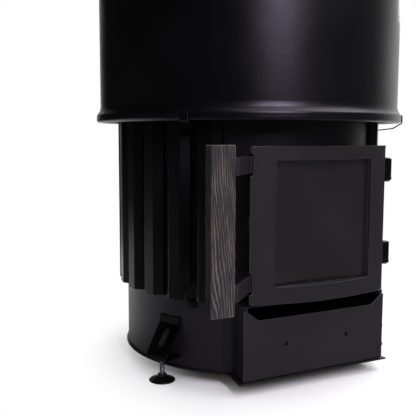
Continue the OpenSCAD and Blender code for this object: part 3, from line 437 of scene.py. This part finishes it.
# Screws: which way the heads point along Y, head height, shank radius
SCREWS = {
    "drawer_screws": (-1, 1.5 * MM, 2.0 * MM),
    "handle_screws": (1, 2.5 * MM, 2.0 * MM),
    "clip_screws": (1, 2.0 * MM, 1.5 * MM),
}
SCREW_SIDES = 36
# The head's dome (radius, distance below its top) and its hexagon socket, in shares of the head's sizes
SCREW_DOME = ((1.0, 1.0), (1.0, 0.72), (0.93, 0.36), (0.76, 0.1), (0.55, 0.0))
SOCKET_FLAT = 0.36
SOCKET_DEPTH = 0.75

# Feet. A stud's hexagon stands on its pad.
FEET = (1, 2, 3)
STUD_SIDES = 36
STUD_R = 4.0 * MM
STUD_TIP = 1.2 * MM
THREAD_PITCH = 1.25 * MM
THREAD_DEPTH = 0.6 * MM
THREAD_STEPS = 6
HEX_HEIGHT = 5.0 * MM
HEX_FLAT = 6.5 * MM
HEX_CROWN = 1.02 * HEX_FLAT
HEX_BEVEL = 0.6 * MM

# Rope seal: its bends' radius is told in radii of the rope
ROPE_STEP = 1.2 * MM
ROPE_SIDES = 20
ROPE_TWIST = 9.0 * MM
ROPE_STRANDS = 4
ROPE_BRAID = 0.1
ROPE_BEND = 3
ROPE_BEND_STEPS = 8

# Weld beads on the foot brackets. Each starts at BEAD_OUT from the bracket's middle, just off the skirt.
BEAD_STEPS = 24
BEAD_SIDES = 12
BEAD_RIPPLES = 5
BEAD_RIPPLE = 0.16
BEAD_END = 0.03
BEAD_OUT = 21.0 * MM
BEAD_LENGTH = 9.0 * MM
OFF_SKIRT = 1.2 * MM
BEAD_SIZE = 2.3 * MM
BEAD_FLATNESS = 0.8

# The wooden bar, in millimetres. BAR_ENDS are the first levels up from an end, CAP_INSETS the rings on it.
BAR_ROUND = 2.0
BAR_CORNER_STEPS = 5
BAR_STEP = 0.5
LEVEL_STEP = 1.5
BAR_ENDS = (0.0, 0.2, 0.6, 1.2, 2.0)
CAP_INSETS = (8.8, 7.5, 6.0, 4.5, 3.2)
RELIEF = 0.5
END_RELIEF = 0.3
END_ROUND = 1.6
END_BEVEL = 2.0
# How dark the bar's sides, back and end grain are against its front: painted shade where less light falls.
PAINTED_SHADE_LEVEL = 0.28

# The tree that the bar was cut from, in millimetres: its rings, its pith's place in the bar's section, the
# pith's lean above a level, and waves of the pith (size, length, start)
RING_STEP = 3.1
PITH = (-38, 30)
PITH_LEAN = 0.09
LEAN_LEVEL = 120
PITH_WAVES = ((3, 41, 0.6), (2.5, 33, 0.0))
# Bends of the growth lines: size, length across and along the bar, start
GRAIN_BENDS = ((2.6, 24, 75, 0), (0.9, 8, 30, 40))
# How the rings' widths vary: by how much, over how many millimetres, and a place in the noise
RING_VARIETY = 1.1
RING_GROUP = 7
VARIETY_PLACE = 3.7
# How a ring rises slowly to its hard end and drops from it, how far it stands out, and how that varies
RING_PEAK = 0.82
RING_RISE = 2.0
RING_HEIGHT = 0.72
RING_CONTRAST = 0.5
RING_LENGTH = 70
RING_SEED_STEP = 5.3
RING_PLACE = 0.3
# Fibres between the rings
FIBRE_RELIEF = 0.45
FIBRE_WIDTH = 0.9
FIBRE_LENGTH = 16
FIBRE_IN_SOFT = 0.4


# Pieces

def opened(mesh):
    """A mesh as a form that can be edited."""
    form = bmesh.new()
    form.from_mesh(mesh)
    return form


def closed(form, mesh):
    """The edited form put back into its mesh."""
    form.to_mesh(mesh)
    form.free()
    return mesh


class Skin:
    """Points and faces of a mesh that is put together from grids."""

    def __init__(self):
        self.points = []
        self.faces = []

    def add_grid(self, rows, caps=()):
        """Closed rings of points, each joined to the next. caps are the rings that get their own face."""
        first = len(self.points)
        count = len(rows[0])
        for row in rows:
            self.points.extend(row)
        for i in range(len(rows) - 1):
            here = first + i * count
            for j in range(count):
                k = (j + 1) % count
                self.faces.append((here + j, here + k, here + count + k, here + count + j))
        for i in caps:
            ring = [first + i * count + j for j in range(count)]
            self.faces.append(ring if i else ring[::-1])

    def mesh(self, name):
        mesh = bpy.data.meshes.new(name)
        mesh.from_pydata(self.points, [], self.faces)
        form = opened(mesh)
        bmesh.ops.recalc_face_normals(form, faces=form.faces)
        return closed(form, mesh)


def add_piece(name, mesh, body, slot, *finishes):
    """An object that moves with a body."""
    mesh.materials.clear()
    for finish in finishes:
        mesh.materials.append(finish)
    piece = bpy.data.objects.new(name, mesh)
    scene.collection.objects.link(piece)
    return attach(piece, body)


def stand_in(name, mesh, node, *more_finishes):
    """A piece that is shown in place of a CAD node."""
    body = frame["nodes"][node]["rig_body"]
    piece = add_piece(name, mesh, body, SLOTS[node], FINISHES[node], *more_finishes)
    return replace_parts(piece, node)


def welded_copy(node):
    """The CAD node's mesh as one skin, with flat areas as single faces."""
    mesh = frame["nodes"][node].data.copy()
    if "custom_normal" in mesh.attributes:
        mesh.attributes.remove(mesh.attributes["custom_normal"])
    form = opened(mesh)
    bmesh.ops.remove_doubles(form, verts=form.verts, dist=NODE_POINT)
    bmesh.ops.dissolve_limit(form, angle_limit=FLAT_ANGLE, verts=form.verts, edges=form.edges)
    for face in form.faces:
        face.smooth = True
    return mesh, form


def baked(piece):
    """The piece with its modifiers worked into its mesh."""
    graph = bpy.context.evaluated_depsgraph_get()
    mesh = bpy.data.meshes.new_from_object(piece.evaluated_get(graph))
    piece.modifiers.clear()
    piece.data = mesh
    return piece


def smoothed(piece, angle):
    """Smooth shading that stops at edges sharper than the angle and keeps flat areas flat."""
    piece.data.shade_smooth()
    piece.data.set_sharp_from_angle(angle=math.radians(angle))
    modifier = piece.modifiers.new("normals", "WEIGHTED_NORMAL")
    modifier.keep_sharp = True
    return baked(piece)


def with_edges(node, width):
    """A copy of a CAD node whose sharp edges are a little rounded. On some nodes the rounds get a lighter
    paint, part wear and part painted highlight.
    """
    lightened = node in EDGES_WITH_WEAR_AND_HIGHLIGHT
    edge_finishes_wear_and_highlight = [MATERIALS["edge_paint_wear_and_highlight"]] if lightened else []
    mesh, form = welded_copy(node)
    piece = stand_in(node + "_edged", closed(form, mesh), node, *edge_finishes_wear_and_highlight)
    modifier = piece.modifiers.new("edges", "BEVEL")
    # The bevel's faces take the second material: the lighter edge paint, part wear and part painted
    # highlight.
    modifier.material = 1 if lightened else -1
    modifier.width = width
    modifier.segments = 2
    modifier.limit_method = "ANGLE"
    modifier.angle_limit = EDGE_ANGLE
    modifier.use_clamp_overlap = False
    modifier.harden_normals = True
    return baked(piece)


def reach(edge, face):
    """How far a face reaches away from an upright edge, level with the floor."""
    foot = edge.verts[0].co.xy
    return max((vert.co.xy - foot).length for vert in face.verts)


def is_fold(edge):
    """Whether an edge is an upright bend between two wide faces."""
    upright = (edge.verts[0].co.xy - edge.verts[1].co.xy).length < UPRIGHT_DRIFT
    if not upright or len(edge.link_faces) != 2 or edge.calc_face_angle() <= FOLD_ANGLE:
        return False
    return min(reach(edge, face) for face in edge.link_faces) > WIDE_FACE


def folded_wrap():
    """The fluted casing with a bend radius along each fold. The bends get a much lighter paint: a painted
    highlight along the folds.
    """
    mesh, form = welded_copy("flute_wrap")
    folds = [edge for edge in form.edges if is_fold(edge)]
    bmesh.ops.bevel(form, geom=folds, offset=FOLD_WIDTH, offset_type="OFFSET", segments=3, profile=0.5,
                    affect="EDGES", clamp_overlap=False, material=1)
    piece = stand_in("flute_wrap_folded", closed(form, mesh), "flute_wrap", MATERIALS["fold_highlight_paint"])
    return smoothed(piece, WRAP_CREASE)


def solids(node):
    """The boxes round the separate solids of a CAD node."""
    mesh, form = welded_copy(node)
    bpy.data.meshes.remove(mesh)
    left = set(form.verts)
    found = []
    while left:
        island = [left.pop()]
        for vert in island:
            for edge in vert.link_edges:
                other = edge.other_vert(vert)
                if other in left:
                    left.remove(other)
                    island.append(other)
        low = Vector(min(vert.co[k] for vert in island) for k in range(3))
        high = Vector(max(vert.co[k] for vert in island) for k in range(3))
        found.append((low, high))
    form.free()
    return sorted(found, key=lambda box: tuple(box[0]))


def middle_of(node):
    """The middle of a CAD node's box."""
    low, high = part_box(node)
    return (low + high) / 2


def turn_of(part, whole):
    """The angle of a part of a whole turn."""
    return 2 * math.pi * part / whole


def hexagon(angle, flat):
    """The distance from a hexagon's middle to its side in one direction."""
    sixth = math.pi / 3
    return flat / math.cos((angle + sixth / 2) % sixth - sixth / 2)


def add_socket_screw(skin, tip, head, head_r, head_h, shank_r):
    """A button-head screw with a hexagon socket, from the middle of its tip to the top of its head."""
    axis = (head - tip).normalized()
    side = axis.orthogonal().normalized()
    across = axis.cross(side)
    length = (head - tip).length
    flat = SOCKET_FLAT * head_r
    # Radius, whether the ring is a hexagon, and distance below the head's top
    stations = [(shank_r, False, length), (shank_r, False, head_h)]
    stations += [(share * head_r, False, drop * head_h) for share, drop in SCREW_DOME]
    stations += [(flat, True, 0.0), (flat, True, SOCKET_DEPTH * head_h)]
    rows = []
    for radius, is_hexagon, below in stations:
        row = []
        for k in range(SCREW_SIDES):
            angle = turn_of(k, SCREW_SIDES)
            r = hexagon(angle, radius) if is_hexagon else radius
            row.append(head - axis * below + (side * math.cos(angle) + across * math.sin(angle)) * r)
        rows.append(row)
    skin.add_grid(rows, (0, len(rows) - 1))


def socket_screws(node, forward, head_h, shank_r):
    """All screws of a CAD node."""
    skin = Skin()
    for low, high in solids(node):
        middle = (low + high) / 2
        ends = [Vector((middle.x, y, middle.z)) for y in (low.y, high.y)]
        tip, head = ends if forward > 0 else ends[::-1]
        add_socket_screw(skin, tip, head, (high.x - low.x) / 2, head_h, shank_r)
    smoothed(stand_in(node + "_sockets", skin.mesh(node), node), SCREW_CREASE)


def threaded_stud(k):
    """A foot's stud with its thread and its hexagon."""
    node = f"foot_stud_{k}"
    low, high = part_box(node)
    middle = (low + high) / 2
    hex_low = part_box(f"foot_pad_{k}")[1].z
    hex_top = hex_low + HEX_HEIGHT
    skin = Skin()

    def ring(radius_at, z):
        points = []
        for j in range(STUD_SIDES):
            angle = turn_of(j, STUD_SIDES)
            r = radius_at(angle, z)
            points.append((middle.x + r * math.cos(angle), middle.y + r * math.sin(angle), z))
        return points

    def shank(angle, z):
        return STUD_R

    def tip(angle, z):
        return STUD_R - STUD_TIP

    def thread(angle, z):
        """Half a turn of flanks, with a flat crest and a flat groove between them."""
        turn = (z / THREAD_PITCH - angle / (2 * math.pi)) % 1
        groove = min(1.0, max(0.0, 1.25 - abs(4 * turn - 2)))
        return STUD_R - THREAD_DEPTH * groove

    def flank(angle, z):
        return hexagon(angle, HEX_FLAT)

    def crown(angle, z):
        return min(hexagon(angle, HEX_FLAT), HEX_CROWN)

    top = high.z - STUD_TIP
    steps = round((top - hex_top) / (THREAD_PITCH / THREAD_STEPS))
    rows = [ring(shank, low.z)]
    rows += [ring(thread, hex_top + (top - hex_top) * i / steps) for i in range(steps + 1)]
    rows.append(ring(tip, high.z))
    skin.add_grid(rows, (0, len(rows) - 1))
    nut_start = len(skin.faces)
    nut = [ring(crown, hex_low), ring(flank, hex_low + HEX_BEVEL)]
    nut += [ring(flank, hex_top - HEX_BEVEL), ring(crown, hex_top)]
    skin.add_grid(nut, (0, len(nut) - 1))
    mesh = skin.mesh(node)
    piece = stand_in(node + "_threaded", mesh, node, MATERIALS["blackened_steel"])
    for face in mesh.polygons[nut_start:]:
        face.material_index = 1
    smoothed(piece, STUD_CREASE)


def rope_seal():
    """The braided rope in the door's back, as a tube along its rounded rectangle."""
    low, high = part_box("door_seal")
    middle = (low + high) / 2
    radius = (high.y - low.y) / 2
    bend = ROPE_BEND * radius
    corner_x = (high.x - low.x) / 2 - radius - bend
    corner_z = (high.z - low.z) / 2 - radius - bend
    path = []
    for k, (sign_x, sign_z) in enumerate(((1, 1), (-1, 1), (-1, -1), (1, -1))):
        for i in range(ROPE_BEND_STEPS + 1):
            angle = math.radians(90 * k + 90 * i / ROPE_BEND_STEPS)
            x, z = sign_x * corner_x, sign_z * corner_z
            path.append((x + bend * math.cos(angle), z + bend * math.sin(angle)))
    rows = []
    travelled = 0.0
    for i, (x, z) in enumerate(path):
        next_x, next_z = path[(i + 1) % len(path)]
        gone = math.hypot(next_x - x, next_z - z)
        along_x, along_z = (next_x - x) / gone, (next_z - z) / gone
        steps = max(1, round(gone / ROPE_STEP))
        for n in range(steps):
            part = gone * n / steps
            twist = turn_of(travelled + part, ROPE_TWIST)
            row = []
            for j in range(ROPE_SIDES):
                angle = turn_of(j, ROPE_SIDES)
                strand = ROPE_STRANDS * angle
                lift = max(math.cos(strand + twist), math.cos(strand - twist))
                r = radius * (1 - ROPE_BRAID + ROPE_BRAID * lift)
                out = r * math.cos(angle)
                row.append((middle.x + x + along_x * part + along_z * out, middle.y + r * math.sin(angle),
                            middle.z + z + along_z * part - along_x * out))
            rows.append(row)
        travelled += gone
    rows.append(rows[0])
    skin = Skin()
    skin.add_grid(rows)
    piece = stand_in("door_seal_braid", skin.mesh("door_seal"), "door_seal")
    piece.data.shade_smooth()


def weld_beads():
    """Two short beads on the upper edge of each foot bracket's flange, beside the skirt."""
    axis_y = middle_of("drum_shell").y
    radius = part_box("base_ring")[1].y - axis_y + OFF_SKIRT
    flange_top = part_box("foot_brackets")[1].z
    skin = Skin()
    for k in FEET:
        pad = middle_of(f"foot_pad_{k}")
        azimuth = math.atan2(-pad.x, axis_y - pad.y)
        turned = Matrix.Translation((0, axis_y, 0)) @ Matrix.Rotation(-azimuth, 4, "Z")
        for side in (-1, 1):
            rows = []
            for i in range(BEAD_STEPS + 1):
                part = i / BEAD_STEPS
                taper = BEAD_END + (1 - BEAD_END) * math.sqrt(max(0.0, 1 - (2 * part - 1) ** 4))
                ripple = 1 - BEAD_RIPPLE + BEAD_RIPPLE * abs(math.sin(math.pi * part * BEAD_RIPPLES))
                x = side * (BEAD_OUT - BEAD_LENGTH * part)
                y = -math.sqrt(radius ** 2 - x * x)
                r = BEAD_SIZE * taper * ripple
                row = []
                for j in range(BEAD_SIDES):
                    angle = turn_of(j, BEAD_SIDES)
                    z = flange_top + BEAD_FLATNESS * r * math.sin(angle)
                    row.append(turned @ Vector((x, y + r * math.cos(angle), z)))
                rows.append(row)
            skin.add_grid(rows, (0, BEAD_STEPS))
    mesh = skin.mesh("bracket_welds")
    mesh.shade_smooth()
    add_piece("bracket_welds", mesh, "stove", SLOTS["foot_brackets"], MATERIALS["weld_paint"])


def growth(x, y, z):
    """How many rings out in the tree a point of the wooden bar grew, from millimetres in the bar."""
    bend = 0.0
    for size, across, along, start in GRAIN_BENDS:
        bend += size * noise.noise(Vector((x / across, y / across, z / along + start)))
    waves = [size * math.sin(z / length + start) for size, length, start in PITH_WAVES]
    pith_x = PITH[0] - PITH_LEAN * (z - LEAN_LEVEL) + waves[0]
    pith_y = PITH[1] + waves[1]
    away = math.hypot(x - pith_x, y - pith_y) + bend
    variety = RING_VARIETY * noise.noise(Vector((away / RING_GROUP, VARIETY_PLACE, 0.0)))
    return (away + variety) / RING_STEP


def ridge_at(x, y, z):
    """How far a point stands out after brushing, 0 to 1: the hard end of each ring stands highest."""
    rings = growth(x, y, z)
    ring = math.floor(rings)
    part = rings - ring
    rise = (part / RING_PEAK) ** RING_RISE if part < RING_PEAK else (1 - part) / (1 - RING_PEAK)
    ring_place = Vector((ring * RING_SEED_STEP, RING_PLACE, z / RING_LENGTH))
    strength = RING_HEIGHT + RING_CONTRAST * noise.noise(ring_place)
    fibre = FIBRE_RELIEF * noise.noise(Vector((x / FIBRE_WIDTH, y / FIBRE_WIDTH, z / FIBRE_LENGTH)))
    height = strength * rise + fibre * (FIBRE_IN_SOFT + (1 - FIBRE_IN_SOFT) * rise)
    return min(1.0, max(0.0, height))


def within(value, limit):
    return max(-limit, min(limit, value))


def bar_outline(width, depth):
    """Points round the bar's section, each with its outward direction."""
    x, y = width / 2 - BAR_ROUND, depth / 2 - BAR_ROUND
    corners = [(x, y, 0), (-x, y, 90), (-x, -y, 180), (x, -y, 270)]
    points = []
    for k, (cx, cy, start) in enumerate(corners):
        for i in range(BAR_CORNER_STEPS + 1):
            angle = math.radians(start + 90 * i / BAR_CORNER_STEPS)
            nx, ny = math.cos(angle), math.sin(angle)
            points.append((cx + BAR_ROUND * nx, cy + BAR_ROUND * ny, nx, ny))
        next_x, next_y = corners[(k + 1) % 4][:2]
        steps = round(math.hypot(next_x - cx, next_y - cy) / BAR_STEP)
        for i in range(1, steps):
            px = cx + (next_x - cx) * i / steps + BAR_ROUND * nx
            py = cy + (next_y - cy) * i / steps + BAR_ROUND * ny
            points.append((px, py, nx, ny))
    return points


def wooden_bar():
    """The handle's bar with the growth lines that brushing raised as relief, the same lines stored for the
    finish, and a painted shade stored for its sides, back and end grain.
    """
    low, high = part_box("handle_bar")
    width, depth, height = (high - low) / MM
    outline = bar_outline(width, depth)
    last = BAR_ENDS[-1]
    levels = list(BAR_ENDS)
    levels += [last + LEVEL_STEP * i for i in range(1, int((height - 2 * last) / LEVEL_STEP))]
    levels += [height - level for level in reversed(BAR_ENDS)]
    rows = []
    ridges = []
    painted_shade_scale = []

    def put(x, y, z):
        rows[-1].append((low.x + (width / 2 + x) * MM, low.y + (depth / 2 + y) * MM, low.z + z * MM))

    def add_cap(z, inward, insets):
        for inset in insets:
            rows.append([])
            for px, py, _, _ in outline:
                x = within(px, width / 2 - inset)
                y = within(py, depth / 2 - inset)
                ridge = ridge_at(x, y + depth / 2, z)
                ridges.append(ridge)
                # The end grain gets the same painted shade.
                painted_shade_scale.append(PAINTED_SHADE_LEVEL)
                put(x, y, z + inward * END_RELIEF * (1 - ridge))

    add_cap(0.0, 1, CAP_INSETS)
    for z in levels:
        edge = min(z, height - z)
        rounding = END_ROUND - math.sqrt(END_ROUND ** 2 - (END_ROUND - min(edge, END_ROUND)) ** 2)
        bevel = max(rounding, END_BEVEL - edge)
        lightened = max(0.0, 1 - edge / END_ROUND)
        rows.append([])
        for px, py, nx, ny in outline:
            ridge = ridge_at(px, py + depth / 2, z)
            sink = RELIEF * (1 - ridge)
            ridges.append(max(ridge, lightened))
            # The front keeps its full colour; the sides and back get painted shade, lifted near the ends
            # where the bar wears to bare wood.
            painted_shade_scale.append(PAINTED_SHADE_LEVEL + (1 - PAINTED_SHADE_LEVEL) * max(0.0, -ny, lightened))
            put(within(px - nx * sink, width / 2 - bevel), within(py - ny * sink, depth / 2 - rounding), z)
    add_cap(height, -1, CAP_INSETS[::-1])
    skin = Skin()
    skin.add_grid(rows, (0, len(rows) - 1))
    mesh = skin.mesh("handle_bar")
    for name, values in (("ridge", ridges), ("painted_shade_scale", painted_shade_scale)):
        mesh.attributes.new(name, "FLOAT", "POINT").data.foreach_set("value", values)
    form = opened(mesh)
    bmesh.ops.remove_doubles(form, verts=form.verts, dist=SAME_POINT)
    bmesh.ops.dissolve_degenerate(form, edges=form.edges, dist=SAME_POINT)
    closed(form, mesh).shade_smooth()
    stand_in("handle_bar_grain", mesh, "handle_bar")


for node_name, edge_width in EDGES.items():
    with_edges(node_name, edge_width * MM)
folded_wrap()
for node_name, screw in SCREWS.items():
    socket_screws(node_name, *screw)
for foot in FEET:
    threaded_stud(foot)
rope_seal()
weld_beads()
wooden_bar()


# Studio

def add_floor():
    """White paper that keeps the stove's shadow near it and is plain white further out."""
    mesh = bpy.data.meshes.new("floor")
    form = bmesh.new()
    bmesh.ops.create_circle(form, cap_ends=True, segments=FLOOR_SIDES, radius=FLOOR_RADIUS,
                            matrix=Matrix.Translation(FLOOR_MIDDLE))
    floor = bpy.data.objects.new("floor", closed(form, mesh))
    scene.collection.objects.link(floor)
    material, tree, shader = node_tree("paper")
    where = coordinates(tree)
    paths = tree.nodes.new("ShaderNodeLightPath").outputs
    shader.inputs["Roughness"].default_value = PAPER_ROUGHNESS
    shader.inputs["Specular IOR Level"].default_value = PAPER_SPECULAR
    fibres = ramp(tree, noise_at(tree, where, PAPER_FIBRES), PAPER_WHITE - PAPER_MOTTLE, PAPER_WHITE)
    tree.links.new(fibres, shader.inputs["Base Color"])
    duller = tree.nodes.new("ShaderNodeBsdfDiffuse")
    in_gloss = stepped(tree, axes(tree, where)["Y"], *GLOSS_PAPER_FADE, GLOSS_PAPER, GLOSS_PAPER_BEHIND)
    tree.links.new(in_gloss, duller.inputs["Color"])
    paper = mixed(tree, paths["Is Glossy Ray"], shader.outputs["BSDF"], duller.outputs["BSDF"])
    distance = tree.nodes.new("ShaderNodeVectorMath")
    distance.operation = "DISTANCE"
    distance.inputs[1].default_value = SHADE_MIDDLE
    tree.links.new(where, distance.inputs[0])
    far = stepped(tree, distance.outputs["Value"], *SHADE_FADE)
    far_to_camera = combined(tree, "MULTIPLY", far, paths["Is Camera Ray"])
    white = tree.nodes.new("ShaderNodeEmission")
    white.inputs["Color"].default_value = colour4(WHITE)
    shown = mixed(tree, far_to_camera, paper, white.outputs["Emission"])
    tree.links.new(shown, tree.nodes["Material Output"].inputs["Surface"])
    mesh.materials.append(material)


def add_softbox(name, place, aim, size, radiance, colour):
    """An area lamp of the given brightness, in the picture's units."""
    lamp = bpy.data.lights.new(name, "AREA")
    lamp.shape = "RECTANGLE"
    lamp.size, lamp.size_y = size
    lamp.energy = radiance * math.pi * size[0] * size[1]
    lamp.color = colour
    box = bpy.data.objects.new(name, lamp)
    box.location = place
    box.rotation_euler = (Vector(aim) - Vector(place)).to_track_quat("-Z", "Y").to_euler()
    box.visible_camera = False
    scene.collection.objects.link(box)


def add_world():
    """White to the camera and through glass. The gloss sees a white backdrop on one side of a dark room."""
    world = bpy.data.worlds.new("studio")
    world.use_nodes = True
    tree = world.node_tree
    tree.nodes.clear()
    output = tree.nodes.new("ShaderNodeOutputWorld")
    paths = tree.nodes.new("ShaderNodeLightPath").outputs
    direction = axes(tree, tree.nodes.new("ShaderNodeTexCoord").outputs["Generated"])

    def background(strength):
        node = tree.nodes.new("ShaderNodeBackground")
        node.inputs["Color"].default_value = colour4(WHITE)
        node.inputs["Strength"].default_value = strength
        return node

    backdrop = combined(tree, "MULTIPLY", stepped(tree, direction["Y"], *BACKDROP_FADE_Y),
                        stepped(tree, direction["X"], *BACKDROP_FADE_X))
    side = combined(tree, "MULTIPLY", stepped(tree, direction["Y"], *SIDE_FADE_Y),
                    stepped(tree, direction["X"], *SIDE_FADE_X, high=SIDE_ROOM))
    in_gloss = combined(tree, "ADD", combined(tree, "ADD", backdrop, side), DARK_ROOM)
    room = background(1.0)
    tree.links.new(in_gloss, room.inputs["Strength"])
    fill = background(FILL)
    white = background(1.0)
    lit = mixed(tree, paths["Is Glossy Ray"], fill.outputs[0], room.outputs[0])
    seen = combined(tree, "MAXIMUM", paths["Is Camera Ray"], paths["Is Transmission Ray"])
    tree.links.new(mixed(tree, seen, lit, white.outputs[0]), output.inputs["Surface"])
    scene.world = world


def add_camera():
    data = bpy.data.cameras.new("camera")
    data.sensor_width = SENSOR_WIDTH
    data.lens = FOCAL_LENGTH
    camera = bpy.data.objects.new("camera", data)
    turn = Matrix.Rotation(CAMERA_YAW, 4, "Z") @ Matrix.Rotation(CAMERA_TILT, 4, "X")
    camera.matrix_world = Matrix.Translation(CAMERA_PLACE) @ turn @ Matrix.Rotation(CAMERA_ROLL, 4, "Z")
    scene.collection.objects.link(camera)
    scene.camera = camera


add_floor()
add_world()
add_camera()
for softbox_name, softbox in SOFTBOXES.items():
    add_softbox(softbox_name, *softbox)
